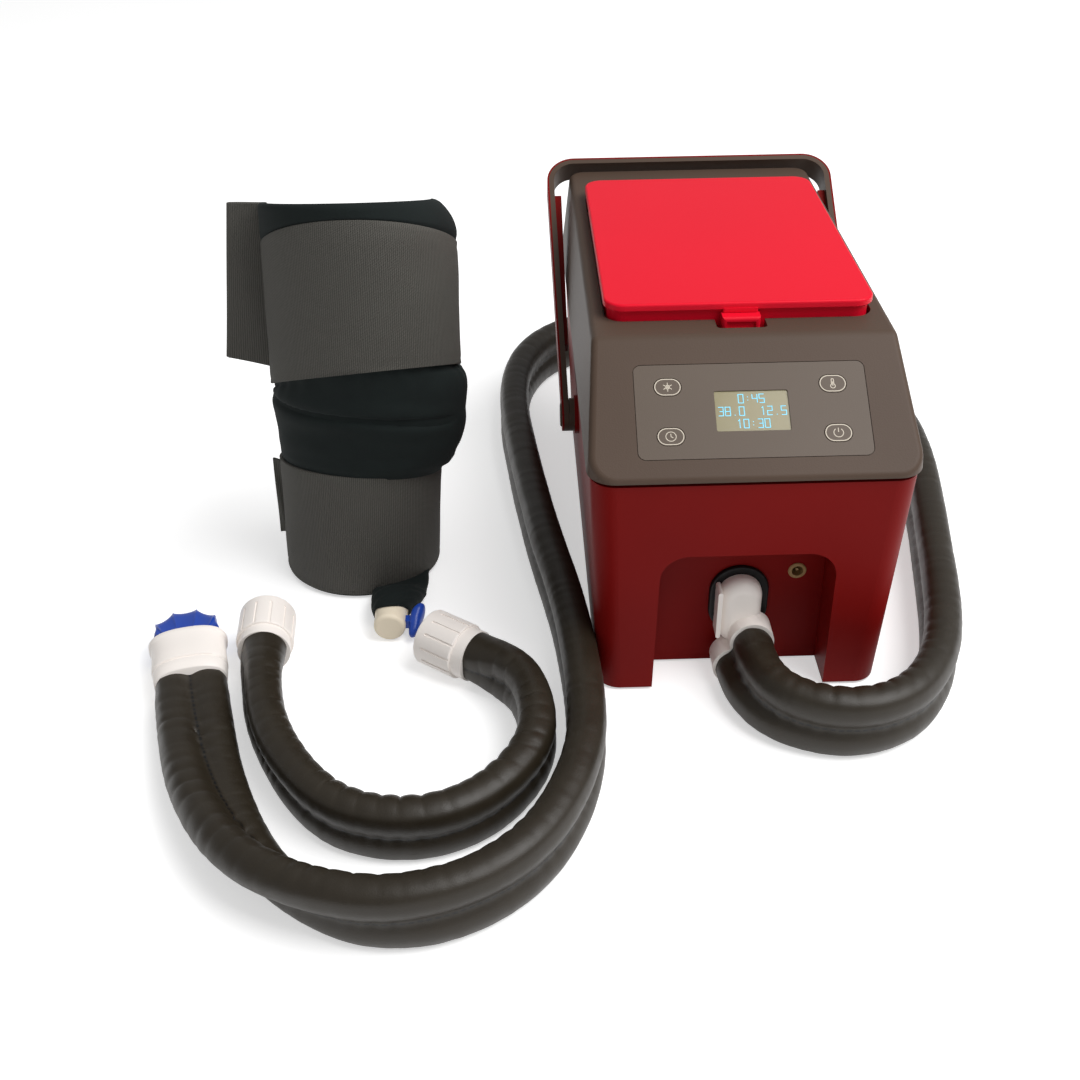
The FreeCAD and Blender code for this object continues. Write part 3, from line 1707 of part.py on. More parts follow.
def pump_impeller():
    start = Vector(pump_x, pump_y + 4.0, pump_height())
    disc = cylinder(impeller_radius, start + Vector(0, 6, 0), Vector(0, 1, 0), 2.0)
    hub = cylinder(4.5, start + Vector(0, 0.5, 0), Vector(0, 1, 0), 7.0)
    vanes = []
    for index in range(impeller_blades):
        vane = block(Vector(3.5, 1.0, -0.7), Vector(impeller_radius - 0.5, 6.2, 0.7))
        vane.rotate(Vector(0, 0, 0), Vector(0, 1, 0), 360.0 / impeller_blades * index)
        vane.translate(start)
        vanes.append(vane)
    bore = cylinder(2.0 + bearing_gap, start + Vector(0, -1, 0), Vector(0, 1, 0), 12.0)
    return fuse_all([disc, hub] + vanes).cut(bore)


def power_board():
    width, length = power_board_width, power_board_length
    x = power_board_x
    y = power_board_y
    low = power_board_height
    top = low + board_thickness

    def part(left, front, right, back, height):
        """A box on the board: its sides as shares of the board from its middle."""
        return block(
            Vector(x + left * width, y + front * length, top - 0.2),
            Vector(x + right * width, y + back * length, top + height),
        )

    parts = [block(Vector(x - width / 2, y - length / 2, low), Vector(x + width / 2, y + length / 2, top))]
    for side in (-1, 1):
        for end in (-1, 1):
            at = Vector(x + side * (width / 2 - 2 * post_radius), y + end * (length / 2 - 2 * post_radius), plate_top())
            parts.append(cylinder(post_radius, at, up, low - plate_top() + 0.2))
    parts.append(part(-0.34, -0.38, -0.03, -0.13, 20.0))
    for share in (-0.24, -0.04):
        can = Vector(x + 0.23 * width, y + share * length, top - 0.2)
        parts.append(cylinder(0.1 * width, can, up, 20.0))
    parts.append(part(-0.31, 0.09, 0.29, 0.13, 22.0))
    return fuse_all(parts)


def bent_tube(points, radius, bend):
    """A round tube along straight runs with equal bends."""
    edges = []
    start = points[0]
    for before, corner, after in zip(points, points[1:], points[2:]):
        incoming = (corner - before).normalize()
        outgoing = (after - corner).normalize()
        turn = incoming.getAngle(outgoing)
        tangent = bend * math.tan(turn / 2)
        arc_start = corner - incoming * tangent
        arc_end = corner + outgoing * tangent
        inward = (outgoing - incoming).normalize()
        middle = corner + inward * (bend / math.cos(turn / 2) - bend)
        edges.append(Part.makeLine(start, arc_start))
        edges.append(Part.Arc(arc_start, middle, arc_end).toShape())
        start = arc_end
    edges.append(Part.makeLine(start, points[-1]))
    heading = points[1] - points[0]
    ring = Part.Wire(Part.makeCircle(radius, points[0], heading))
    return Part.Wire(edges).makePipeShell([ring], True, False)


def suction_tube():
    """From the tank's outlet down and round into the pump."""
    outlet = Vector(pump_x, outlet_y, tank_bottom - 8.0)
    inlet = Vector(pump_x, pump_y - 9.0, pump_height())
    corner = Vector(pump_x, outlet.y, inlet.z)
    return bent_tube([outlet, corner, inlet], tube_radius, 7.0)


def stub_end(side):
    """Free end of one of the two stubs behind the port."""
    return Vector(
        port_x, recess_y + recess_wall + 8.0 + 28.0, port_middle + side * main_spacing() / 2
    )


def supply_tube():
    """From the side of the pump forward to the lower stub of the port."""
    stub = stub_end(-1)
    outlet = pump_outlet()
    return bent_tube([stub, Vector(stub.x, outlet.y, stub.z), outlet], tube_radius, 9.0)


def return_tube():
    """From the upper stub of the port to the front of the tank."""
    stub = stub_end(1)
    reach = tank_front_at(stub.z + tube_radius) - stub.y
    return cylinder(tube_radius, stub, Vector(0, 1, 0), reach)


def tank_front_at(height):
    share = (collar_bottom - height) / (collar_bottom - tank_bottom)
    return lid_middle - tank_length / 2 + tank_taper * share


# ---------------------------------------------------------------- write every piece
pieces = {
    "housing": housing,
    "top_cover": top_cover,
    "base_plate": base_plate,
    "base_screws": base_screws,
    "rubber_feet": rubber_feet,
    "water_tank": water_tank,
    "tank_filter": tank_filter,
    "lid": lid,
    "lid_liner": lid_liner,
    "lid_seal": lid_seal,
    "lid_latch": lid_latch,
    "hinge_pins": hinge_pins,
    "panel_overlay": panel_overlay,
    "display_lens": display_lens,
    "display_module": display_module,
    "key_switches": key_switches,
    "control_board": control_board,
    "handle_frame": handle_frame,
    "handle_trim": handle_trim,
    "handle_ribs": handle_ribs,
    "handle_posts": handle_posts,
    "handle_caps": handle_caps,
    "port_bezel": port_bezel,
    "port_manifold": port_manifold,
    "elbow_coupling": elbow_coupling,
    "dc_jack": dc_jack,
    "hose_main": hose_main,
    "main_collar": main_collar,
    "main_crown": main_crown,
    "hose_extension": hose_extension,
    "extension_collar_near": extension_collar_near,
    "extension_collar_far": extension_collar_far,
    "wrap_body": wrap_body,
    "wrap_bladder": wrap_bladder,
    "strap_upper": strap_upper,
    "strap_lower": strap_lower,
    "strap_tail": strap_tail,
    "hook_tab": hook_tab,
    "wrap_coupling": wrap_coupling,
    "wrap_lever": wrap_lever,
    "thermo_block": thermo_block,
    "heat_sink": heat_sink,
    "fan_frame": fan_frame,
    "fan_rotor": fan_rotor,
    "pump_body": pump_body,
    "pump_impeller": pump_impeller,
    "power_board": power_board,
    "suction_tube": suction_tube,
    "supply_tube": supply_tube,
    "return_tube": return_tube,
}

os.makedirs("parts", exist_ok=True)
for name, make in pieces.items():
    make().exportStep(f"parts/{name}.step")
for number, place in enumerate(key_places(), start=1):
    key(place).exportStep(f"parts/key_{number}.step")
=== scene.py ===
import json
import math

import bpy
import numpy as np
from mathutils import Matrix, Vector


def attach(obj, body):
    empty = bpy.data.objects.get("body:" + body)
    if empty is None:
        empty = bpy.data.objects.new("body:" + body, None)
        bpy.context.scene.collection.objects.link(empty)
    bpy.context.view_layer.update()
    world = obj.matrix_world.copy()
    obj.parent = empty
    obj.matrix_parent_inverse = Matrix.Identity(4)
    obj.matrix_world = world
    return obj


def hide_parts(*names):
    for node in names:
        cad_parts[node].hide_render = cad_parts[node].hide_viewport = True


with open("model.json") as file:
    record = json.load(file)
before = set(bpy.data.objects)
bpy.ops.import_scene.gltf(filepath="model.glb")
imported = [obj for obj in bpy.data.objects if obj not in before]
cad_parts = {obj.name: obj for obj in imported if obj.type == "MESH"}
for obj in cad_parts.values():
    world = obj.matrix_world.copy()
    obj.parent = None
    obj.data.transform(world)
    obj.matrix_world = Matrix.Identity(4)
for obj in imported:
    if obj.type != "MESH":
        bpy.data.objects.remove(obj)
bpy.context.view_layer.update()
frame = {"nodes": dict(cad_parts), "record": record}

nodes = frame["nodes"]
print("stage: frame loaded with", len(nodes), "nodes")

# Camera: stands in front of the machine, a little to its left, and looks down on it.
shot = {
    "place": (-0.14796, -0.88725, 0.60676),
    "pitch": 34.61,     # degrees below level
    "yaw": 1.09,        # degrees towards +X
    "roll": -0.85,
    "lens": 44.25,
}


def aimCamera():
    # forward from yaw and pitch; right and up are then turned about it by the roll
    yaw, pitch, roll = (math.radians(shot[k]) for k in ("yaw", "pitch", "roll"))
    forward = np.array([math.sin(yaw) * math.cos(pitch), math.cos(yaw) * math.cos(pitch), -math.sin(pitch)])
    right = np.array([math.cos(yaw), -math.sin(yaw), 0.0])
    up = np.cross(right, forward)
    across = math.cos(roll) * right + math.sin(roll) * up
    over = -math.sin(roll) * right + math.cos(roll) * up
    data = bpy.data.cameras.new("shotCamera")
    data.lens = shot["lens"]
    data.clip_start, data.clip_end = 0.05, 50.0
    camera = bpy.data.objects.new("shotCamera", data)
    bpy.context.scene.collection.objects.link(camera)
    matrix = np.eye(4)
    matrix[:3, 0], matrix[:3, 1], matrix[:3, 2], matrix[:3, 3] = across, over, -forward, shot["place"]
    camera.matrix_world = Matrix(matrix.tolist())
    bpy.context.scene.camera = camera


aimCamera()
bpy.context.scene.view_settings.view_transform = "Standard"
print("stage: camera aimed")


# Mesh building: every new piece is one or more grids of points.
def gridFaces(rows, cols, closed):
    # quads between neighbouring rows and columns; closed joins the last column to the first
    index = np.arange(rows * cols).reshape(rows, cols)
    lead = index if closed else index[:, :-1]
    following = np.roll(index, -1, axis=1) if closed else index[:, 1:]
    return np.stack([lead[:-1], following[:-1], following[1:], lead[1:]], axis=-1).reshape(-1, 4)


def gridUv(points, closed):
    # metres along the columns and along the rows, measured over the surface
    ring = np.concatenate([points, points[:, :1]], axis=1) if closed else points
    across = np.linalg.norm(np.diff(ring, axis=1), axis=2).mean(axis=0)
    along = np.linalg.norm(np.diff(points, axis=0), axis=2).mean(axis=1)
    u = np.concatenate([[0.0], np.cumsum(across)])
    v = np.concatenate([[0.0], np.cumsum(along)])
    corner = np.stack(np.broadcast_arrays(u[None, :], v[:, None]), axis=-1)
    quads = [corner[:-1, :-1], corner[:-1, 1:], corner[1:, 1:], corner[1:, :-1]]
    return np.stack(quads, axis=2).reshape(-1, 4, 2)


def patch(points, closed=False, startCap=False, endCap=False, flip=False):
    # one grid as places, faces and a UV for each corner; caps close the first and last row
    points = np.asarray(points, float)
    rows, cols = points.shape[:2]
    faces = [list(q) for q in gridFaces(rows, cols, closed)]
    corners = [list(q) for q in gridUv(points, closed)]
    if startCap:
        faces.append(list(range(cols))[::-1])
        corners.append([(p[0], p[1]) for p in points[0][::-1, :2]])
    if endCap:
        faces.append([(rows - 1) * cols + k for k in range(cols)])
        corners.append([(p[0], p[1]) for p in points[-1][:, :2]])
    if flip:
        faces = [f[::-1] for f in faces]
        corners = [c[::-1] for c in corners]
    return points.reshape(-1, 3), faces, corners


def makePiece(name, patches, material, body="machine", sharp=40.0):
    # joins patches into one mesh object at the origin that rides on a body
    places, faces, corners, start = [], [], [], 0
    for points, quads, uvs in patches:
        places.append(points)
        faces += [[k + start for k in face] for face in quads]
        corners += uvs
        start += len(points)
    mesh = bpy.data.meshes.new(name)
    mesh.from_pydata(np.concatenate(places).tolist(), [], faces)
    layer = mesh.uv_layers.new(name="surface")
    flat = np.array([uv for corner in corners for uv in corner], np.float32)
    layer.data.foreach_set("uv", flat.ravel())
    mesh.polygons.foreach_set("use_smooth", np.ones(len(faces), bool))
    mesh.set_sharp_from_angle(angle=math.radians(sharp))
    mesh.materials.append(material)
    piece = bpy.data.objects.new(name, mesh)
    bpy.context.scene.collection.objects.link(piece)
    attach(piece, body)
    return piece


def flipped(onePatch):
    points, faces, corners = onePatch
    return points, [face[::-1] for face in faces], [corner[::-1] for corner in corners]


def ringPatch(points):
    # a grid closed both ways: the last row joins the first
    points = np.asarray(points)
    rows, cols = points.shape[:2]
    places, faces, corners = patch(np.concatenate([points, points[:1]]), True)
    return places[: rows * cols], [[k % (rows * cols) for k in face] for face in faces], corners


def readPlaces(mesh):
    places = np.zeros(len(mesh.vertices) * 3)
    mesh.vertices.foreach_get("co", places)
    return places.reshape(-1, 3)


def writePlaces(mesh, places):
    mesh.vertices.foreach_set("co", places.reshape(-1))
    mesh.update()


def smoothStep(value):
    # 0 at and below 0, 1 at and above 1, value^2 * (3 - 2 * value) between
    value = np.clip(value, 0, 1)
    return value * value * (3 - 2 * value)


def squared(wave, power):
    # a sine or cosine with its size raised to a power, so that a circle of them turns squarer below 1
    return np.sign(wave) * np.abs(wave) ** power


def smoothField(rows, cols, cellRows, cellCols, seed):
    # random heights on a coarse lattice, eased between its points; the last column joins the first
    lattice = np.random.default_rng(seed).uniform(-1, 1, (cellRows + 2, cellCols))
    lattice = np.concatenate([lattice, lattice[:, :2]], axis=1)
    r, c = np.linspace(0, cellRows, rows), np.linspace(0, cellCols, cols, endpoint=False)
    ri, ci = r.astype(int), c.astype(int)
    rf, cf = smoothStep(r - ri)[:, None], smoothStep(c - ci)[None, :]
    near = lattice[np.ix_(ri, ci)] * (1 - cf) + lattice[np.ix_(ri, ci + 1)] * cf
    far = lattice[np.ix_(ri + 1, ci)] * (1 - cf) + lattice[np.ix_(ri + 1, ci + 1)] * cf
    return near * (1 - rf) + far * rf


# Shader groups that several finishes share
def makeGroup(name, inputs, outputs):
    group = bpy.data.node_groups.new(name, "ShaderNodeTree")
    for label, kind, value in inputs:
        socket = group.interface.new_socket(label, in_out="INPUT", socket_type="NodeSocket" + kind)
        socket.default_value = value
    for label, kind in outputs:
        group.interface.new_socket(label, in_out="OUTPUT", socket_type="NodeSocket" + kind)
    start, end = group.nodes.new("NodeGroupInput"), group.nodes.new("NodeGroupOutput")
    return group, start.outputs, end.inputs


def addNode(tree, kind, settings=(), **inputs):
    # inputs go by the socket's name, or by its number as i0, i1 and so on; a socket given is linked
    node = tree.nodes.new("ShaderNode" + kind)
    for key, value in dict(settings).items():
        setattr(node, key, value)
    for key, value in inputs.items():
        socket = node.inputs[int(key[1:])] if key[0] == "i" and key[1:].isdigit() else node.inputs[key]
        if isinstance(value, bpy.types.NodeSocket):
            tree.links.new(value, socket)
        else:
            socket.default_value = value
    return node


def mathNode(tree, operation, a, b=0.0, c=0.0):
    return addNode(tree, "Math", {"operation": operation}, i0=a, i1=b, i2=c).outputs[0]


def mixColour(tree, factor, a, b):
    return addNode(tree, "Mix", {"data_type": "RGBA"}, i0=factor, i6=a, i7=b).outputs[2]


def noiseOf(tree, where, scale, detail, distortion=0.0):
    noise = addNode(tree, "TexNoise", Vector=where, Scale=scale, Detail=detail, Distortion=distortion)
    return noise.outputs["Fac"]


def aboutZero(tree, value):
    return mathNode(tree, "SUBTRACT", value, 0.5)


def buildMouldedGrain():
    # fine spark-eroded grain plus a slow drift of tone, on Object coordinates:
    # colour * (1 + 4 * drift * slow) and gloss + spread * fine, with both noises about zero
    group, i, o = makeGroup(
        "mouldedGrain",
        [("Colour", "Color", (0.5, 0.5, 0.5, 1)), ("Drift", "Float", 0.06), ("Grain Scale", "Float", 1400.0),
         ("Gloss", "Float", 0.4), ("Gloss Spread", "Float", 0.08)],
        [("Colour", "Color"), ("Roughness", "Float"), ("Height", "Float")],
    )
    where = addNode(group, "TexCoord").outputs["Object"]
    slow = noiseOf(group, where, 9.0, 3.0)
    fine = noiseOf(group, where, i["Grain Scale"], 2.0)
    lift = mathNode(group, "MULTIPLY", aboutZero(group, slow), i["Drift"])
    shade = mathNode(group, "ADD", mathNode(group, "MULTIPLY", lift, 4.0), 1.0)
    tinted = addNode(group, "VectorMath", {"operation": "SCALE"}, i0=i["Colour"], Scale=shade).outputs[0]
    group.links.new(tinted, o["Colour"])
    rough = mathNode(group, "MULTIPLY_ADD", aboutZero(group, fine), i["Gloss Spread"], i["Gloss"])
    group.links.new(rough, o["Roughness"])
    group.links.new(fine, o["Height"])
    return group


def buildWovenBand():
    # two crossed sets of threads on the piece's own UV, in metres:
    # height = 0.6 * |sin(rib / 2)| + 0.4 * |sin(pick / 2)| + fuzz
    group, i, o = makeGroup(
        "wovenBand",
        [("Colour", "Color", (0.5, 0.5, 0.5, 1)), ("Gap Colour", "Color", (0.02, 0.02, 0.02, 1)),
         ("Rib Spacing", "Float", 0.0022), ("Pick Spacing", "Float", 0.0012), ("Fuzz", "Float", 0.25)],
        [("Colour", "Color"), ("Height", "Float")],
    )

    def turnsOf(length, spacing):
        return mathNode(group, "MULTIPLY", mathNode(group, "DIVIDE", length, spacing), 2 * math.pi)

    def threads(turns):
        return mathNode(group, "ABSOLUTE", mathNode(group, "SINE", mathNode(group, "MULTIPLY", turns, 0.5)))

    uv = addNode(group, "UVMap", {"uv_map": "surface"}).outputs["UV"]
    split = addNode(group, "SeparateXYZ", Vector=uv)
    rib = turnsOf(split.outputs[0], i["Rib Spacing"])
    pick = turnsOf(split.outputs[1], i["Pick Spacing"])
    pick = mathNode(group, "ADD", pick, mathNode(group, "MULTIPLY", rib, 0.5))
    ribShare = mathNode(group, "MULTIPLY", threads(rib), 0.6)
    pickShare = mathNode(group, "MULTIPLY", threads(pick), 0.4)
    where = addNode(group, "TexCoord").outputs["Object"]
    fuzz = aboutZero(group, noiseOf(group, where, 900.0, 2.0))
    height = mathNode(group, "MULTIPLY_ADD", fuzz, i["Fuzz"], mathNode(group, "ADD", ribShare, pickShare))
    group.links.new(mixColour(group, height, i["Gap Colour"], i["Colour"]), o["Colour"])
    group.links.new(height, o["Height"])
    return group


def buildSoftCloth():
    # close knit or coated cloth: mottled tone and small creases on Object coordinates
    group, i, o = makeGroup(
        "softCloth",
        [("Colour", "Color", (0.02, 0.02, 0.02, 1)), ("Light Colour", "Color", (0.06, 0.06, 0.06, 1)),
         ("Mottle Scale", "Float", 60.0), ("Knit Scale", "Float", 1500.0), ("Crease Scale", "Float", 45.0),
         ("Crease Share", "Float", 0.3)],
        [("Colour", "Color"), ("Height", "Float"), ("Mottle", "Float")],
    )
    where = addNode(group, "TexCoord").outputs["Object"]
    mottle = noiseOf(group, where, i["Mottle Scale"], 4.0)
    knit = noiseOf(group, where, i["Knit Scale"], 1.0)
    crease = noiseOf(group, where, i["Crease Scale"], 5.0, 0.6)
    knitShare = mathNode(group, "MULTIPLY", knit, 0.25)
    height = mathNode(group, "MULTIPLY_ADD", crease, i["Crease Share"], knitShare)
    shade = mathNode(group, "MULTIPLY", mathNode(group, "ADD", mottle, knit), 0.5)
    group.links.new(mixColour(group, shade, i["Colour"], i["Light Colour"]), o["Colour"])
    group.links.new(height, o["Height"])
    group.links.new(mottle, o["Mottle"])
    return group


mouldedGrain = buildMouldedGrain()
wovenBand = buildWovenBand()
softCloth = buildSoftCloth()


def newMaterial(name):
    material = bpy.data.materials.new(name)
    material.use_nodes = True
    tree = material.node_tree
    shader = next(n for n in tree.nodes if n.type == "BSDF_PRINCIPLED")
    return material, tree, shader


def placeGroup(tree, group, **values):
    node = tree.nodes.new("ShaderNodeGroup")
    node.node_tree = group
    for key, value in values.items():
        node.inputs[key.replace("_", " ")].default_value = value
    return node


def addBump(tree, shader, height, distance):
    bump = addNode(tree, "Bump", Height=height, Distance=distance)
    tree.links.new(bump.outputs["Normal"], shader.inputs["Normal"])


def linear(r, g, b):
    # 0 to 255 display values to the shader's linear ones
    c = np.array([r, g, b]) / 255.0
    return (*np.where(c <= 0.04045, c / 12.92, ((c + 0.055) / 1.055) ** 2.4), 1.0)


def mouldedPlastic(name, shade, gloss, grainDepth=0.00004, drift=0.05, scale=1400.0, shine=0.2):
    material, tree, shader = newMaterial(name)
    grain = placeGroup(tree, mouldedGrain, Colour=linear(*shade), Drift=drift, Grain_Scale=scale, Gloss=gloss)
    tree.links.new(grain.outputs["Colour"], shader.inputs["Base Color"])
    tree.links.new(grain.outputs["Roughness"], shader.inputs["Roughness"])
    shader.inputs["Specular IOR Level"].default_value = shine
    if grainDepth:
        addBump(tree, shader, grain.outputs["Height"], grainDepth)
    return material


def clothMaterial(name, shade, lightShade, roughness, depth, **values):
    material, tree, shader = newMaterial(name)
    cloth = placeGroup(tree, softCloth, Colour=linear(*shade), Light_Colour=linear(*lightShade), **values)
    tree.links.new(cloth.outputs["Colour"], shader.inputs["Base Color"])
    shader.inputs["Roughness"].default_value = roughness
    shader.inputs["Specular IOR Level"].default_value = 0.3
    addBump(tree, shader, cloth.outputs["Height"], depth)
    return material


def bandMaterial(name, shade, gapShade, rib, pick, depth):
    material, tree, shader = newMaterial(name)
    colours = {"Colour": linear(*shade), "Gap_Colour": linear(*gapShade)}
    woven = placeGroup(tree, wovenBand, Rib_Spacing=rib, Pick_Spacing=pick, **colours)
    tree.links.new(woven.outputs["Colour"], shader.inputs["Base Color"])
    shader.inputs["Roughness"].default_value = 0.85
    addBump(tree, shader, woven.outputs["Height"], depth)
    return material


def buildSeamStitch():
    # dashes along the two creases of a hose, and a painted shade beside them, on its own UV in metres:
    # distance = |mod(u + perimeter / 4, perimeter / 2) - perimeter / 4|
    group, i, o = makeGroup(
        "seamStitch",
        [("Perimeter", "Float", 0.12), ("Pitch", "Float", 0.0045), ("Width", "Float", 0.0007)],
        [("Stitch", "Float"), ("Crease", "Float")],
    )
    uv = addNode(group, "UVMap", {"uv_map": "surface"}).outputs["UV"]
    split = addNode(group, "SeparateXYZ", Vector=uv)
    quarter = mathNode(group, "MULTIPLY", i["Perimeter"], 0.25)
    half = mathNode(group, "MULTIPLY", i["Perimeter"], 0.5)
    shifted = mathNode(group, "MODULO", mathNode(group, "ADD", split.outputs[0], quarter), half)
    distance = mathNode(group, "ABSOLUTE", mathNode(group, "SUBTRACT", shifted, quarter))
    line = mathNode(group, "LESS_THAN", distance, i["Width"])
    share = mathNode(group, "FRACT", mathNode(group, "DIVIDE", split.outputs[1], i["Pitch"]))
    group.links.new(mathNode(group, "MULTIPLY", line, mathNode(group, "LESS_THAN", share, 0.6)), o["Stitch"])
    # Crease is painted shade: 1 on the crease line, falling to 0 at 2.2 mm from it
    near = mathNode(group, "DIVIDE", distance, 0.0022)
    group.links.new(mathNode(group, "SUBTRACT", 1.0, mathNode(group, "MINIMUM", near, 1.0)), o["Crease"])
    return group


seamStitch = buildSeamStitch()


def hoseMaterial(name, perimeter):
    # coated sleeve fabric: soft sheen, small wrinkles, painted shade along the sewn crease, and dark stitches
    material, tree, shader = newMaterial(name)
    cloth = placeGroup(
        tree, softCloth, Colour=linear(32, 26, 18), Light_Colour=linear(48, 41, 29), Crease_Scale=42.0,
    )
    seam = placeGroup(tree, seamStitch, Perimeter=perimeter)
    # painted shade along the crease between the tubes, up to 0.45 of the way to dark brown; then the dark
    # stitches on top
    crease = mathNode(tree, "MULTIPLY", seam.outputs["Crease"], 0.45)
    creaseShadeAndStitches = mixColour(tree, crease, cloth.outputs["Colour"], linear(20, 16, 13))
    creaseShadeAndStitches = mixColour(tree, seam.outputs["Stitch"], creaseShadeAndStitches, linear(10, 9, 8))
    tree.links.new(creaseShadeAndStitches, shader.inputs["Base Color"])
    wear = mathNode(tree, "MULTIPLY_ADD", cloth.outputs["Mottle"], 0.2, 0.34)
    tree.links.new(wear, shader.inputs["Roughness"])
    shader.inputs["Specular IOR Level"].default_value = 0.42
    height = mathNode(tree, "MULTIPLY_ADD", seam.outputs["Stitch"], -0.8, cloth.outputs["Height"])
    addBump(tree, shader, height, 0.0005)
    return material


def perimeterOf(rings):
    # the same mean length round a ring that the UV layer has
    closed = np.concatenate([rings, rings[:, :1]], axis=1)
    return float(np.linalg.norm(np.diff(closed, axis=1), axis=2).mean(axis=0).sum())


# slot: material, display colour, roughness, depth of the grain, drift of tone, grain scale, shine
plastics = {
    "housing_red": ("housingRed", (122, 15, 13), 0.45, 0.00004, 0.08, 1400.0, 0.08),
    "lid_red": ("lidRed", (228, 18, 44), 0.36, 0.00002, 0.02, 1400.0, 0.12),
    "cover_charcoal": ("coverCharcoal", (82, 67, 57), 0.48, 0.00007, 0.06, 900.0, 0.18),
    "panel_film": ("panelFilm", (94, 82, 72), 0.45, 0.00004, 0.04, 1400.0, 0.25),
    "clear_lens": ("clearLens", (142, 134, 104), 0.15, 0.0, 0.1, 1400.0, 0.3),
    "display_khaki": ("displayKhaki", (150, 145, 115), 0.3, 0.0),
    "switch_black": ("switchBlack", (30, 30, 30), 0.4),
    "board_green": ("boardGreen", (30, 80, 50), 0.4),
    "steel": ("steelPin", (170, 170, 172), 0.3),
    "rubber_black": ("rubberBlack", (28, 27, 26), 0.7),
    "tank_white": ("tankWhite", (205, 205, 200), 0.4),
    "liner_foam": ("linerFoam", (215, 212, 205), 0.7),
    "port_black": ("portBlack", (24, 22, 22), 0.42),
    "coupling_white": ("couplingWhite", (252, 245, 239), 0.36, 0.00001, 0.01, 1400.0, 0.35),
    "coupling_cream": ("couplingCream", (248, 235, 211), 0.4, 0.00001, 0.02),
    "release_blue": ("releaseBlue", (34, 72, 172), 0.3, 0.00001, 0.03, 1400.0, 0.4),
    "aluminium": ("aluminium", (180, 182, 185), 0.35),
    "tube_clear": ("tubeClear", (190, 200, 200), 0.25, 0.0),
}
finish = {slot: mouldedPlastic(*values) for slot, values in plastics.items()}
# the cloths: colour, lighter colour, roughness and depth of the creases
finish["hose_black"] = clothMaterial("hoseSleeve", (44, 36, 30), (58, 49, 41), 0.5, 0.0003, Crease_Scale=38.0)
finish["neoprene"] = clothMaterial("neoprene", (8, 14, 14), (22, 32, 31), 0.9, 0.0002, Crease_Scale=70.0)
finish["bladder_grey"] = clothMaterial("bladderGrey", (40, 42, 45), (66, 68, 72), 0.7, 0.0003)
finish["strap_grey"] = bandMaterial(
    "strapGrey", (92, 90, 84), (34, 33, 30), rib=0.0014, pick=0.0010, depth=0.0003,
)
brass = mouldedPlastic("jackBrass", (158, 126, 82), 0.35, grainDepth=0.0, shine=0.5)
for subpart in frame["record"]["subparts"]:
    mesh = nodes[subpart["node"]].data
    mesh.materials.clear()
    mesh.materials.append(brass if subpart["node"] == "dc_jack" else finish[subpart["material_slot"]])
print("stage: finishes made")

# Hoses: two water tubes side by side in one sewn sleeve
mainHose = {
    "lumen": 0.025,         # one tube in its sleeve
    "pair": 0.048,          # both tubes across
    "waist": 0.0092,        # half thickness at the seam
    "step": 0.0018,         # length between rings
    "around": 64,
    "lean": 27.0,           # degrees from upright at the elbow
    "leanFade": 0.09,       # length over which that lean fades
    "tableGap": 0.0003,
    "end": (0.0129, 0.0105, 0.0098),        # tube radius, half spacing and waist where it enters the coupling
    "endLength": 0.016,
    "lowest": 0.0002,
    "seed": 11,
    "crumple": (0.9, 0.26, 0.08, 0.03, 0.03),   # strength, then start and fade before the end, stop and fade
    "route": [
        (0.003, -0.189, 0.0255), (0.003, -0.214, 0.0245), (0.021, -0.246, 0.0243), (0.062, -0.261, 0.0243),
        (0.103, -0.247, 0.0243), (0.131, -0.210, 0.0243), (0.146, -0.165, 0.0243), (0.157, -0.112, 0.0243),
        (0.169, -0.045, 0.0243), (0.183, 0.035, 0.0243), (0.186, 0.110, 0.0243), (0.170, 0.177, 0.0243),
        (0.135, 0.234, 0.0243), (0.086, 0.277, 0.0243), (0.028, 0.305, 0.0243), (-0.035, 0.316, 0.0243),
        (-0.093, 0.305, 0.0243), (-0.129, 0.267, 0.0243), (-0.147, 0.214, 0.0243), (-0.150, 0.148, 0.0243),
        (-0.144, 0.080, 0.0243), (-0.136, 0.008, 0.0243), (-0.128, -0.055, 0.0243), (-0.118, -0.112, 0.0243),
        (-0.111, -0.168, 0.0243), (-0.107, -0.228, 0.0243),
        (-0.109, -0.290, 0.0243), (-0.136, -0.356, 0.0243),
        (-0.178, -0.391, 0.0243), (-0.226, -0.402, 0.0243),
        (-0.272, -0.388, 0.0240), (-0.318, -0.350, 0.0212),
        (-0.356, -0.268, 0.0150), (-0.3738, -0.192, 0.0131),
    ],
}
extensionHose = {
    "lumen": 0.024,
    "pair": 0.042,
    "waist": 0.0095,
    "step": 0.0012,
    "around": 72,
    "lean": 17.0,           # degrees from upright at the near coupling
    "leanFade": 0.11,
    "end": (0.0143, 0.0032, 0.0130),
    "endLength": 0.036,
    "lowest": 0.0002,
    "seed": 31,
    "crumple": (0.14, 0.03),    # strength, and fade at both ends
    "route": [
        (-0.3275, -0.166, 0.0203), (-0.325, -0.206, 0.0203),
        (-0.308, -0.262, 0.0203), (-0.274, -0.315, 0.0203),
        (-0.239, -0.334, 0.0203), (-0.199, -0.334, 0.0203),
        (-0.163, -0.312, 0.0203), (-0.139, -0.271, 0.0203),
        (-0.140, -0.228, 0.0203), (-0.153, -0.197, 0.0203), (-0.180, -0.177, 0.0203),
    ],
}

sleeveFold = {
    "depth": 0.0022,
    "pitch": 0.0128,        # length between two ridges
    "puckerPitch": 0.0115,  # length between two puckers at the crease
    "bendShare": 0.085,     # share of the full depth for each 1 / m of bend
}


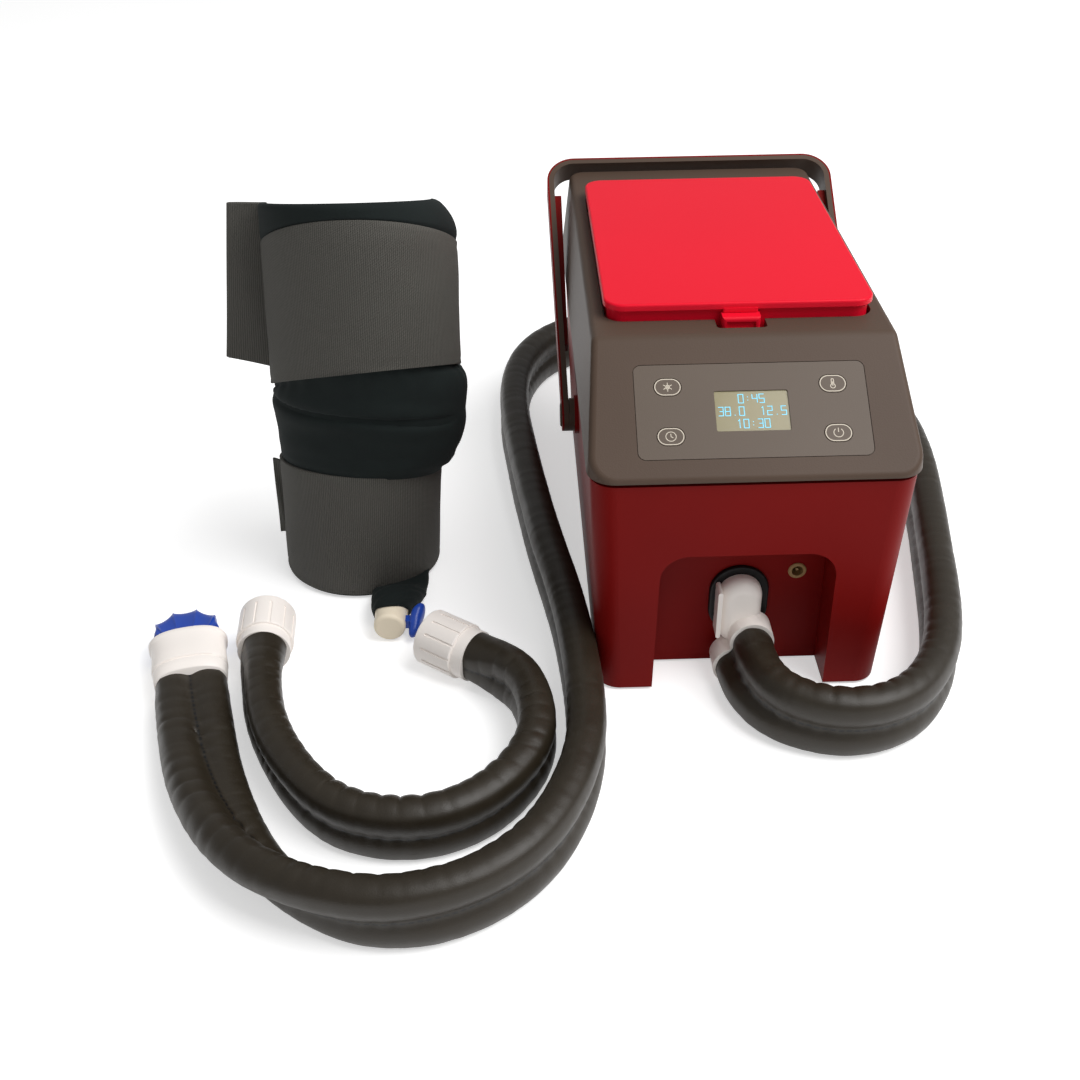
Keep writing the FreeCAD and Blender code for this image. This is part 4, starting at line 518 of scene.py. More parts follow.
def followRoute(name, route, step):
    # the route's points steer one open NURBS spline, whose line is then read at even distances
    curve = bpy.data.curves.new(name + "Line", "CURVE")
    curve.dimensions = "3D"
    curve.resolution_u = 32
    spline = curve.splines.new("NURBS")
    spline.points.add(len(route) - 1)
    spline.points.foreach_set("co", np.column_stack([route, np.ones(len(route))]).ravel())
    spline.order_u = 3
    spline.use_endpoint_u = True
    holder = bpy.data.objects.new(name + "Line", curve)
    bpy.context.scene.collection.objects.link(holder)
    line = bpy.data.meshes.new_from_object(holder)
    dense = readPlaces(line)
    bpy.data.objects.remove(holder)
    bpy.data.meshes.remove(line)
    run = np.concatenate([[0.0], np.cumsum(np.linalg.norm(np.diff(dense, axis=0), axis=1))])
    even = np.linspace(0, run[-1], int(run[-1] / step) + 1)
    return np.column_stack([np.interp(even, run, dense[:, k]) for k in range(3)]), even


def lineFrame(places):
    # unit vectors along the line, level to its left, and upright to both
    along = np.gradient(places, axis=0)
    along /= np.linalg.norm(along, axis=1)[:, None]
    left = np.cross([0.0, 0.0, 1.0], along)
    left /= np.linalg.norm(left, axis=1)[:, None]
    return along, left, np.cross(along, left)


def bendOf(along, even):
    # signed level bend, 1 / radius, positive to the left, smoothed over a few rings
    heading = np.unwrap(np.arctan2(along[:, 1], along[:, 0]))
    bend = np.gradient(heading, even)
    kernel = np.hanning(9)
    return np.convolve(np.pad(bend, 4, mode="edge"), kernel / kernel.sum(), mode="valid")


def pairRadius(angle, tube, spacing, waist):
    # outline of two circles whose centres lie each side of the middle, filled at the waist:
    # reach(angle) = smooth maximum of the circles' reach and the waist's flat side
    circles = spacing * np.abs(np.sin(angle)) + np.sqrt(tube**2 - (spacing * np.cos(angle)) ** 2)
    flat = waist / np.maximum(np.abs(np.cos(angle)), waist / (0.85 * (tube + spacing)))
    power = 9.0
    return (circles**power + flat**power) ** (1 / power)


def sleeveRings(size, places, lean, toEnd, folds):
    # place = centre + reach * (sin(angle) * long axis + cos(angle) * short axis), folds added to the reach
    along, left, upright = lineFrame(places)
    angle = np.linspace(0, 2 * math.pi, size["around"], endpoint=False)
    tube = size["lumen"] / 2
    free = np.array([tube, size["pair"] / 2 - tube, size["waist"]])
    # the section eases from its free to its end shape: share = 1 - smooth step of the distance to the end
    share = (1 - smoothStep(toEnd / size["endLength"]))[:, None]
    section = free * (1 - share) + np.array(size["end"]) * share
    reach = pairRadius(angle[None, :], section[:, :1], section[:, 1:2], section[:, 2:3])
    reach = reach + folds * (1 - 0.6 * share)
    longAxis = np.cos(lean)[:, None] * upright + np.sin(lean)[:, None] * left
    shortAxis = np.cos(lean)[:, None] * left - np.sin(lean)[:, None] * upright
    return (
        places[:, None, :]
        + (reach * np.sin(angle)[None, :])[..., None] * longAxis[:, None, :]
        + (reach * np.cos(angle)[None, :])[..., None] * shortAxis[:, None, :]
    )


def sleeveFolds(size, even, bend, lean, crumple):
    # cross folds: rounded ridges along the hose, deep on the inner side of a bend and faint elsewhere
    rows, cols, seed = len(even), size["around"], size["seed"]
    angle = np.linspace(0, 2 * math.pi, cols, endpoint=False)[None, :]
    inward = np.cos(angle - lean[:, None]) * np.sign(bend)[:, None]
    upward = np.clip(np.sin(angle - lean[:, None]), 0, 1) ** 0.6
    inner = np.clip(inward + 0.4, 0, 1) ** 1.1 * (0.35 + 0.65 * upward)
    strength = np.clip(np.abs(bend) * sleeveFold["bendShare"], 0, 1)[:, None]
    wander = smoothField(rows, cols, max(4, int(even[-1] / 0.03)), 5, seed)
    phase = even[:, None] / sleeveFold["pitch"] * 2 * math.pi + 2.4 * wander
    # narrow valleys between round ridges: |sin|^0.45
    ridge = np.abs(np.sin(phase / 2)) ** 0.45 - 0.85
    patchy = 0.55 + 0.45 * smoothField(rows, cols, max(4, int(even[-1] / 0.02)), 6, seed + 1)
    slow = smoothField(rows, cols, max(4, int(even[-1] / 0.045)), 4, seed + 2)
    # puckers fan out from the sewn crease between the tubes
    beside = np.exp(-((np.sin(angle) / 0.5) ** 2))
    phase = even[:, None] / sleeveFold["puckerPitch"] * math.pi + 1.6 * wander + 0.8 * patchy
    pucker = np.abs(np.sin(phase)) ** 0.5 - 0.8
    fine = smoothField(rows, cols, int(even[-1] / 0.0042), 3, seed + 3)
    crumple = crumple[:, None] * upward
    return (
        sleeveFold["depth"] * ridge * patchy * (inner * strength + 0.07 + crumple)
        + (0.0012 + 0.0018 * crumple) * pucker * beside * patchy + 0.0005 * slow + 0.00014 * fine
    )


def leanAtStart(size, run):
    return math.radians(size["lean"]) * smoothStep(1 - run / size["leanFade"])


def buildHose(name, sleeve, size, line, run, lean, toEnd, crumple):
    # one closed tube of folded rings along the line, kept off the table
    folds = sleeveFolds(size, run, bendOf(lineFrame(line)[0], run), lean, crumple)
    rings = sleeveRings(size, line, lean, toEnd, folds)
    rings[..., 2] = np.maximum(rings[..., 2], size["lowest"])
    return makePiece(name, [patch(rings, True, True, True)], hoseMaterial(sleeve, perimeterOf(rings)))


mainLine, mainRun = followRoute("mainHose", mainHose["route"], mainHose["step"])
tubeRadius = mainHose["lumen"] / 2
halfSpacing = mainHose["pair"] / 2 - tubeRadius
# the pair turns flat as its middle comes down: height = tube radius + gap + half spacing * cos(lean)
sunk = np.clip((mainLine[:, 2] - tubeRadius - mainHose["tableGap"]) / halfSpacing, 0, 1)
mainLean = np.where(mainRun > mainRun[-1] * 0.5, np.arccos(sunk), 0.0) + leanAtStart(mainHose, mainRun)
mainLeft = mainRun[-1] - mainRun
strength, start, startFade, stop, stopFade = mainHose["crumple"]
mainCrumple = strength * smoothStep((start - mainLeft) / startFade) * smoothStep((mainLeft - stop) / stopFade)
hoseMain = buildHose("hoseMain", "mainSleeve", mainHose, mainLine, mainRun, mainLean, mainLeft, mainCrumple)
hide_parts("hose_main")

extensionLine, extensionRun = followRoute("extensionHose", extensionHose["route"], extensionHose["step"])
toEnd = np.minimum(extensionRun, extensionRun[-1] - extensionRun)
strength, fade = extensionHose["crumple"]
hoseExtension = buildHose(
    "hoseExtension", "extensionSleeve", extensionHose, extensionLine, extensionRun,
    leanAtStart(extensionHose, extensionRun), toEnd, strength * smoothStep(toEnd / fade),
)
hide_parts("hose_extension")
print("stage: hoses laid,", round(mainRun[-1], 3), "and", round(extensionRun[-1], 3), "m")

# Main coupling: a flat shell that narrows to the hose, and the domed release crown in its mouth
coupling = {
    "end": (-0.3738, -0.1920), "before": (-0.3560, -0.2680), "height": 0.0158,
    # distance from the hose's end, half width, half height
    "shell": [
        (0.0000, 0.0237, 0.0132), (0.0007, 0.0244, 0.0140),
        (0.0095, 0.0253, 0.0148), (0.0106, 0.0252, 0.0147),
        (0.0112, 0.0241, 0.0137), (0.0121, 0.0241, 0.0137),
        (0.0127, 0.0254, 0.0149), (0.0140, 0.0258, 0.0152),
        (0.0270, 0.0255, 0.0151), (0.0378, 0.0256, 0.0151),
        (0.0390, 0.0261, 0.0154), (0.0400, 0.0270, 0.0156),
        (0.0428, 0.0273, 0.0157), (0.0438, 0.0269, 0.0153), (0.0440, 0.0262, 0.0147),
        (0.0438, 0.0252, 0.0139), (0.0400, 0.0247, 0.0133),
        (0.0290, 0.0245, 0.0131), (0.0252, 0.0245, 0.0131),
    ],
    "roundness": 2.5,
    "around": 120,
    # corners of the crown's outline: distance and sideways place
    "corners": [(0.0285, 0.0222), (0.0465, 0.0244), (0.0615, 0.0214), (0.0722, 0.0086)],
    "hollow": 0.0011,           # each facet is hollowed this much between its corners
    # height above the crown's middle and share of the outline left there
    "dome": [
        (-0.0114, 0.80), (-0.0108, 0.93), (-0.0085, 0.985), (-0.0040, 1.0), (0.0040, 1.0), (0.0080, 0.985),
        (0.0102, 0.955), (0.0113, 0.90), (0.0118, 0.80), (0.0121, 0.60), (0.0123, 0.30),
    ],
    "ridge": 0.0016,            # the top is this much lower between the ridges that run to the corners
    "slope": 0.0034,            # and this much lower at the tip
    "swell": 0.0028,            # rise past the lip
    "domeHeight": 0.0123,
    "middle": 0.030,            # distance of the middle that the rings shrink towards
    "fall": (0.036, 0.022),     # where the top starts to fall away, and over what length
    "lip": (0.0465, 0.007),     # where the crown leaves the mouth, and over what length it gets its own width
    "mouthSize": (0.0242, 0.0132),
}


def couplingPlace(along, across, up):
    # place = hose end + along * axis + across * right side + height
    (x, y), (fromX, fromY) = coupling["end"], coupling["before"]
    length = math.hypot(x - fromX, y - fromY)
    ax, ay = (x - fromX) / length, (y - fromY) / length
    height = coupling["height"] + up + 0 * along
    return np.stack([x + along * ax + across * ay, y + along * ay - across * ax, height], axis=-1)


def buildShell():
    # rings: |x / half width| ^ roundness + |z / half height| ^ roundness = 1
    turn = np.linspace(0, 2 * math.pi, coupling["around"], endpoint=False)
    power = 2 / coupling["roundness"]
    across, up = squared(np.cos(turn), power), squared(np.sin(turn), power)
    stations = [(along + 0 * turn, half * across, high * up) for along, half, high in coupling["shell"]]
    shell = patch([couplingPlace(*station) for station in stations], True, True, True, flip=True)
    return makePiece("mainCollarShell", [shell], finish["coupling_white"], sharp=50)


def buildCrown():
    # outline: facets between corners, hollowed by hollow * sin(pi * share)^0.7; each ring of the dome is that
    # outline shrunk towards the middle
    corners = coupling["corners"]
    corners = [(a, -b) for a, b in corners] + corners[::-1]
    along, across, valley = [], [], []
    for (a0, b0), (a1, b1) in zip(corners[:-1], corners[1:]):
        share = np.linspace(0, 1, 18, endpoint=False)
        dip = coupling["hollow"] * np.sin(math.pi * share) ** 0.7 * (a0 > 0.03 or a1 > 0.05)
        length = math.hypot(a1 - a0, b1 - b0)
        along.append(a0 + (a1 - a0) * share - dip * abs(b1 - b0) / length)
        across.append(b0 + (b1 - b0) * share - dip * np.sign(b0 + b1) * abs(a1 - a0) / length)
        valley.append(np.sin(math.pi * share) ** 0.6)
    back = np.linspace(0, 1, 18, endpoint=False)
    along.append(corners[-1][0] + 0 * back)
    across.append(corners[-1][1] * (1 - 2 * back))
    valley.append(0 * back)
    along, across, valley = np.concatenate(along), np.concatenate(across), np.concatenate(valley)
    spans = (coupling["fall"], coupling["lip"])
    inside, free = (smoothStep((along - start) / length) for start, length in spans)
    middle, (mouthHalf, mouthHigh) = coupling["middle"], coupling["mouthSize"]
    fall = coupling["slope"] * inside
    rings = []
    for up, share in coupling["dome"]:
        # the back stays full so that the crown fills the mouth, and the front falls away
        keep = 1 - (1 - share) * (0.35 + 0.65 * inside)
        # in the mouth the outline follows the mouth's own curve
        fit = (1 - min(abs(up) / mouthHigh, 0.999) ** coupling["roundness"]) ** (1 / coupling["roundness"])
        widest = mouthHalf * (fit + (1 - fit) * free)
        spread = np.clip(across * (1 - (1 - share) * 0.55), -widest, widest)
        # above the middle the swell lifts and the fall lowers in step with the height
        lowered = fall + coupling["ridge"] * valley * share * (along > middle)
        lifted = up + (coupling["swell"] * free - lowered) * max(up, 0.0) / coupling["domeHeight"]
        rings.append(couplingPlace(middle + (along - middle) * keep, spread, lifted))
    dome = patch(rings, True, True, True, flip=True)
    return makePiece("mainCrownDome", [dome], finish["release_blue"], "main_crown", sharp=28)


mainCollarShell = buildShell()
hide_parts("main_collar")
mainCrownDome = buildCrown()
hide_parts("main_crown")
print("stage: main coupling built")

# Knee wrap: a padded sleeve, its lining and two straps, standing as if round a leg
wrap = {
    # height, middle x and y, half width, half depth
    "rings": [
        (0.000, -0.2706, -0.0260, 0.0569, 0.0520), (0.035, -0.2688, -0.0260, 0.0571, 0.0520),
        (0.062, -0.2669, -0.0260, 0.0575, 0.0520), (0.080, -0.2635, -0.0260, 0.0598, 0.0525),
        (0.098, -0.2575, -0.0265, 0.0675, 0.0550), (0.127, -0.2541, -0.0270, 0.0726, 0.0585),
        (0.160, -0.2530, -0.0280, 0.0722, 0.0600), (0.207, -0.2530, -0.0290, 0.0648, 0.0585),
        (0.266, -0.2507, -0.0300, 0.0636, 0.0575), (0.330, -0.2495, -0.0300, 0.0620, 0.0560),
    ],
    "front": -0.0875,           # where the heights of slanted edges are measured
    "side": 0.0575,             # how far behind the front the fall to the sides ends
    "slopeMiddle": -0.26,       # x where a sloping edge has its own height
    # the oval that edges are first found on: middle x, half width, middle y, half depth
    "oval": (-0.258, 0.062, -0.0265, 0.055),
    "foot": 0.0015,             # height of the lowest ring
    "wall": 0.0035,
    "lining": 0.003,
    "strap": 0.0026,
    # slanted edges: height in front, fall to the sides and on to the back in degrees, slope to the right
    "rim": (0.312, 18.0, 24.0, 0.0),
    "liningRim": (0.307, 18.0, 24.0, 0.0),
    "lowerStrap": ((0.004, 0.0, 0.0, 0.0), (0.1095, 17.0, 17.0, -0.096)),
    "upperStrap": ((0.195, 28.0, 14.5, 0.092), (0.302, 35.0, 22.5, 0.0)),
    "crease": (0.1555, 10.7, 10.7, -0.13),
    "around": 160,
    "swell": 0.0025,            # room left for the padding to swell in
    "lip": 0.0035,              # the knee band rolls this far over the lower strap
    # straight forms under the straps: middle x and its slope, half width and its slope, middle y, half depth
    "lowerForm": (-0.2706, 0.0597, 0.0569, 0.0097, -0.0260, 0.0520),
    "upperForm": (-0.2611, 0.0390, 0.0690, -0.0203, -0.0293, 0.0582),
    "turnOut": (0.024, 0.014),  # heights over which the knee band comes out of the straps
    "late": 0.010,              # the inner walls turn this much later
    "curl": (0.012, 0.028),     # the rim's curl on the right, and the height it starts below the rim
    "fold": (0.0042, 0.0022),   # depth and width of the fold across the knee
    "puff": (0.0012, 0.008, 0.006),     # the swelling beside the fold: height, distance from it, width
}


def wrapRing(height):
    # middle and half sizes of the sleeve at a height, as the mean of three heights 11 mm apart
    rings = np.array(wrap["rings"])
    out = np.zeros(np.shape(height) + (4,))
    for offset, share in ((-0.011, 0.25), (0.0, 0.5), (0.011, 0.25)):
        for k in range(4):
            out[..., k] += share * np.interp(height + offset, rings[:, 0], rings[:, k + 1])
    return out


def edgeHeight(edge, x, y):
    # height = front - tan(to side) * way to the side - tan(to back) * way past it + slope * way to the right
    front, toSide, toBack, slope = edge
    behind = y - wrap["front"]
    side, back = np.minimum(behind, wrap["side"]), np.maximum(behind - wrap["side"], 0.0)
    height = front - side * math.tan(math.radians(toSide)) - back * math.tan(math.radians(toBack))
    return height + (x - wrap["slopeMiddle"]) * slope


def quarterTurn(value):
    # 1 at and below 0, falling along a quarter circle to 0 at 1
    value = np.clip(value, 0, 1)
    return 1 - np.sqrt(1 - (1 - value) ** 2)


def straightForm(form, height):
    # middle and half sizes of a form whose sides are straight lines, at a height
    middle, middleSlope, half, halfSlope, middleY, halfY = form
    zero = 0.0 * height
    middleX, halfX = middle + middleSlope * height, half + halfSlope * height
    return np.stack([middleX, zero + middleY, halfX, zero + halfY], axis=-1)


def wrapPlace(angle, height, grow, late=0.0015):
    # place = middle + (half width + grow) * cos(angle), (half depth + grow) * sin(angle); a strap's rows
    # follow its straight form, the knee band between them the full rings
    angle, height = np.broadcast_arrays(angle, np.asarray(height, dtype=float))
    middleX, halfX, middleY, halfY = wrap["oval"]
    x, y = middleX + halfX * np.cos(angle), middleY + halfY * np.sin(angle)
    overLow = height - edgeHeight(wrap["lowerStrap"][1], x, y) - late
    underHigh = edgeHeight(wrap["upperStrap"][0], x, y) - height - late
    low = quarterTurn(overLow / wrap["turnOut"][0])[..., None]
    high = quarterTurn(underHigh / wrap["turnOut"][1])[..., None]
    low = low * (1 - 0.5 * high)
    high = high * (1 - 0.5 * low)
    # the collar's right side curls inwards towards its rim: curl * share ^ 2.5
    curl = np.clip(1 - (edgeHeight(wrap["rim"], x, y) - height) / wrap["curl"][1], 0, 1.05) ** 2.5
    grow = grow - wrap["curl"][0] * curl * (0.5 + 0.5 * np.cos(angle)) ** 2
    lowerForm, upperForm = (straightForm(wrap[key], height) for key in ("lowerForm", "upperForm"))
    ring = wrapRing(height) * (1 - low - high) + lowerForm * low + upperForm * high
    x = ring[..., 0] + (ring[..., 2] + grow) * np.cos(angle)
    y = ring[..., 1] + (ring[..., 3] + grow) * np.sin(angle)
    return np.stack(np.broadcast_arrays(x, y, height), axis=-1)


def slantedHeight(angle, edge):
    # height of a slanted edge all round the sleeve
    height = np.full(angle.shape, edge[0])
    for _ in range(6):
        place = wrapPlace(angle, height, 0.0)
        height = edgeHeight(edge, place[..., 0], place[..., 1])
    return height


padCloth = {
    "quality": 4, "mass": 0.2, "tension_stiffness": 12, "compression_stiffness": 12, "bending_stiffness": 0.4,
    "use_pressure": True,
}


def inflate(piece, free, pressure, frames, cap, loose):
    # swells a closed mesh like a filled pad: cloth with pressure inside, held where free is 0; no point moves
    # further than the cap
    mesh = piece.data
    start = readPlaces(mesh)
    held = piece.vertex_groups.new(name="held")
    for level in np.unique(np.round(1 - free, 2)):
        if level > 0:
            held.add(np.flatnonzero(np.round(1 - free, 2) == level).tolist(), float(level), "REPLACE")
    cloth = piece.modifiers.new("swell", "CLOTH")
    for key, value in padCloth.items():
        setattr(cloth.settings, key, value)
    cloth.settings.vertex_group_mass = "held"
    cloth.settings.shrink_min = -loose
    cloth.settings.uniform_pressure_force = pressure
    cloth.settings.effector_weights.gravity = 0
    cloth.collision_settings.use_self_collision = False
    cloth.collision_settings.use_collision = False
    cloth.point_cache.frame_start, cloth.point_cache.frame_end = 1, frames
    for frameNumber in range(1, frames + 1):
        bpy.context.scene.frame_set(frameNumber)
    swollen = piece.evaluated_get(bpy.context.evaluated_depsgraph_get())
    moved = readPlaces(swollen.data) - start
    length = np.linalg.norm(moved, axis=1)
    print("  swelled", piece.name, "by at most", round(float(length.max()) * 1000, 1), "mm, mean",
          round(float(length[free > 0.5].mean()) * 1000, 2))
    moved *= (np.minimum(length, cap) / np.maximum(length, 1e-9))[:, None]
    piece.modifiers.remove(cloth)
    piece.vertex_groups.remove(held)
    bpy.context.scene.frame_set(1)
    writePlaces(mesh, start + moved)


def buildSleeve():
    # rows climb the outer side through the strap edges, roll over the rim and go down the inner side
    angle = np.linspace(0, 2 * math.pi, wrap["around"], endpoint=False)
    zero = np.zeros_like(angle)
    half, thick = wrap["wall"] / 2, (wrap["wall"] + wrap["strap"]) / 2
    edges = (wrap["lowerStrap"][1], *wrap["upperStrap"], wrap["rim"])
    stops = [zero + wrap["foot"]] + [slantedHeight(angle, edge) for edge in edges]
    stops[-1] = stops[-1] - 0.0031
    top, counts = stops[-1], [24, 40, 26, 10]
    rows, free = [], []
    for part, count in enumerate(counts):
        for step in range(count):
            share = step / count
            height = stops[part] * (1 - share) + stops[part + 1] * share
            bulge = math.sin(math.pi * share)
            grow = zero
            if part == 1:
                # swelling takes the band out again; above the lower strap it rolls outwards first
                roll = math.exp(-((share - 0.075) / 0.06) ** 2)
                rightward = 0.5 + 0.5 * np.cos(angle)
                grow = grow - wrap["swell"] * bulge**0.6 + wrap["lip"] * (0.3 + 1.1 * rightward) * roll
                height = height - (0.003 + 0.004 * rightward) * math.exp(-((share - 0.06) / 0.05) ** 2)
            if part == 3:
                grow = grow + wrap["strap"] * min(1.0, 0.4 + share * 2.5)
            rows.append(wrapPlace(angle, height, grow))
            loose = 0.0
            if part == 1:
                loose = min(1.0, share / 0.08, (1 - share) / 0.05)
            if part == 3:
                loose = 0.6 * min(1.0, share / 0.3)
            free.append(zero + loose)
    for turn in np.linspace(0, math.pi, 9):
        grow = wrap["strap"] - thick + thick * math.cos(turn)
        rows.append(wrapPlace(angle, top + thick * math.sin(turn), grow))
    for share in np.linspace(1, 0, 80)[1:-1]:
        height = wrap["foot"] + (top - wrap["foot"]) * share
        rows.append(wrapPlace(angle, height, -wrap["wall"], wrap["late"]))
    for turn in np.linspace(math.pi, 2 * math.pi, 5):
        rows.append(wrapPlace(angle, wrap["foot"] + 0.0013 * math.sin(turn), half * math.cos(turn) - half))
    # the rim, the inner side and the foot are held while the outer side swells
    free += [zero] * (len(rows) - len(free))
    piece = makePiece("wrapSleeve", [ringPatch(rows)], finish["neoprene"], sharp=180)
    inflate(piece, np.array(free).ravel(), pressure=3.6, frames=20, cap=0.0075, loose=0.02)
    places = readPlaces(piece.data).reshape(len(rows), wrap["around"], 3)
    shapeSleeve(places, angle, counts)
    writePlaces(piece.data, places)
    return piece


def shapeSleeve(places, angle, counts):
    # fold across the knee: inward by depth * exp(-(distance / width)^2), puffed out just above and below
    first, last = counts[0], counts[0] + counts[1]
    band = places[first:last]
    outward = np.stack([np.cos(angle), np.sin(angle), 0 * angle], axis=-1)[None]
    turn = (np.degrees(angle) + 180) % 360 - 180
    foldHeight = slantedHeight(angle, wrap["crease"]) + 0.0012 * np.sin(np.radians(turn * 3.1))
    reach = np.interp(turn, [-180, -165, -60, -32, -24, 180], [0.15, 0.6, 1.0, 0.75, 0.0, 0.15])
    distance = band[..., 2] - foldHeight[None]
    (depth, width), (puff, puffAt, puffWidth) = wrap["fold"], wrap["puff"]
    groove = puff * np.exp(-(((np.abs(distance) - puffAt) / puffWidth) ** 2))
    groove = groove - depth * np.exp(-((distance / width) ** 2))
    soft = smoothField(last - first, wrap["around"], 5, 9, 51) * 0.0009
    fade = np.sin(np.linspace(0, math.pi, last - first))[:, None]
    band += ((groove * reach[None]) + soft * fade)[..., None] * outward
    # small pulls below the upper strap: shallow flutes that fade downwards
    faded = np.exp(-np.linspace(0, 9, last - first))[::-1, None]
    flutes = 0.0006 * np.sin(angle * 23 + 1.7 * np.sin(angle * 5))[None] * faded
    band += flutes[..., None] * outward


def buildBand(name, edges, seed, cols=240, rows=30):
    # an elastic strap: outer face, two rounded edges and inner face, gripping the sleeve
    angle = np.linspace(0, 2 * math.pi, cols, endpoint=False)
    low, high = slantedHeight(angle, edges[0]), slantedHeight(angle, edges[1])
    half = wrap["strap"] / 2
    ripple = smoothField(rows, cols, 4, 14, seed) * 0.00035
    grid = []
    for step in range(rows):
        share = step / (rows - 1)
        height = low * (1 - share) + high * share
        hem = 0.00035 * (math.exp(-((share - 0.035) / 0.02) ** 2) + math.exp(-((share - 0.965) / 0.02) ** 2))
        grid.append(wrapPlace(angle, height, wrap["strap"] - hem + ripple[step]))
    for turn in np.linspace(0, math.pi, 6)[1:]:
        grid.append(wrapPlace(angle, high + 0.0006 * math.sin(turn), half + half * math.cos(turn)))
    for share in np.linspace(1, 0, 12)[1:-1]:
        grid.append(wrapPlace(angle, low * (1 - share) + high * share, 0.0001))
    for turn in np.linspace(math.pi, 2 * math.pi, 6)[:-1]:
        grid.append(wrapPlace(angle, low + 0.0006 * math.sin(turn), half + half * math.cos(turn)))
    return makePiece(name, [ringPatch(grid)], finish["strap_grey"], sharp=180)


def buildFlap(name, outline, middleY, thickness, curl, rows=28, cols=22):
    # a flat end of webbing: a closed loop of columns per row, front side then back side
    (leftLow, leftHigh), (rightLow, rightHigh), (lowLeft, lowRight), (highLeft, highRight) = outline
    s = np.linspace(0, 1, cols)
    # both sides round off over 0.6 of a column: half * sqrt(way from the side)
    half = thickness / 2 * np.sqrt(np.clip(np.minimum(s, 1 - s) * (cols - 1) / 0.6, 0.05, 1))
    grid = []
    for t in np.linspace(0, 1, rows):
        left, right = leftLow * (1 - t) + leftHigh * t, rightLow * (1 - t) + rightHigh * t
        x = left * (1 - s) + right * s
        z = (lowLeft * (1 - s) + lowRight * s) * (1 - t) + (highLeft * (1 - s) + highRight * s) * t
        y = middleY + curl * (1 - s) ** 2 * np.sin(2.2 * t + 0.6) + 0.0006 * np.sin(7 * t + 4 * s)
        front, back = (np.stack([x, side, z], axis=-1) for side in (y - half, y + half))
        grid.append(np.concatenate([front, back[::-1]]))
    return makePiece(name, [patch(grid, True, True, True)], finish["strap_grey"], sharp=60)


pouch = {
    # way from the strap to the mouth: y, middle x, half width, top
    "stations": [
        (-0.0680, -0.2384, 0.0205, 0.0070), (-0.0800, -0.2386, 0.0204, 0.0110),
        (-0.0880, -0.2390, 0.0198, 0.0178),
        (-0.0960, -0.2398, 0.0186, 0.0236), (-0.1040, -0.2412, 0.0168, 0.0268),
        (-0.1100, -0.2425, 0.0149, 0.0276),
        (-0.1145, -0.2430, 0.0134, 0.0266),
    ],
    "barrel": (-0.243, 0.0127, 0.0117),     # middle x and z of the coupling and the mouth's inner radius
    "mouthSlant": 0.0012,
    "hood": 0.0085,             # the top of the mouth stands out this far past its sides
    "root": (-0.2706, -0.0260, 0.0580, 0.0530),     # oval under the strap that the pouch grows from
    "rootLength": 0.018,
    "wrinkle": 0.0004,
}


def buildPouch():
    # pocket with a turned-in mouth, through which the water tubes leave the wrap
    stations = np.array(pouch["stations"])
    turn = np.linspace(0, 2 * math.pi, 48, endpoint=False)
    at = np.interp(np.linspace(0, 1, 26), np.linspace(0, 1, len(stations)), stations[:, 0])
    rootX, rootY, rootHalf, rootDepth = pouch["root"]
    grid = []
    for y in at:
        middle, half, top = (np.interp(-y, -stations[:, 0], stations[:, k]) for k in (1, 2, 3))
        power = np.interp(-y, [0.08, 0.112], [0.72, 1.0])
        x = middle + half * squared(np.cos(turn), power)
        z = np.maximum(top / 2 + (top / 2) * squared(np.sin(turn), power), 0.0003)
        forward = np.clip((-y - 0.1) / 0.0145, 0, 1)
        slant = pouch["mouthSlant"] * np.cos(turn) * forward
        slant = slant - pouch["hood"] * np.clip(np.sin(turn), 0, 1) ** 1.5 * forward
        # the first rows ease out of the oval: y = middle - half depth * sqrt(1 - (x / half width)^2)
        root = rootY - rootDepth * np.sqrt(np.clip(1 - ((x - rootX) / rootHalf) ** 2, 0.02, 1))
        slant = slant + (root - y) * (1 - smoothStep((at[0] - y) / pouch["rootLength"]))
        wrinkle = pouch["wrinkle"] * np.sin(turn * 5 + y * 700)
        grid.append(np.stack([x + wrinkle * np.cos(turn), y + slant, z + wrinkle * (z > 0.002)], axis=-1))
    cx, cz, radius = pouch["barrel"]
    last = grid[-1]
    mouthZ = np.maximum(cz + radius * np.sin(turn), 0.0006)
    mouth = np.stack([cx + radius * np.cos(turn), last[:, 1], mouthZ], axis=-1)
    for share, back in ((0.5, 0.0007), (1.0, 0.0), (1.0, -0.004)):
        ring = last * (1 - share) + mouth * share
        ring[:, 1] -= back
        grid.append(ring)
    return makePiece("wrapPouch", [patch(grid, True, True, False)], finish["neoprene"], sharp=70)


lever = {
    # from the low front tip to the raised back: middle x, y, z, half thickness, half height
    "stations": [
        (-0.2272, -0.1362, 0.0068, 0.0021, 0.0026), (-0.2258, -0.1315, 0.0086, 0.0037, 0.0044),
        (-0.2250, -0.1255, 0.0112, 0.0046, 0.0064), (-0.2230, -0.1190, 0.0140, 0.0047, 0.0068),
        (-0.2200, -0.1125, 0.0166, 0.0028, 0.0042),
    ],
    "roundEnd": 0.14,           # share of the length that each end rounds off over
    "stem": (-0.2350, -0.2240, -0.1250, 0.0115, 0.0034),    # from x, to x, middle y and z, half size
}


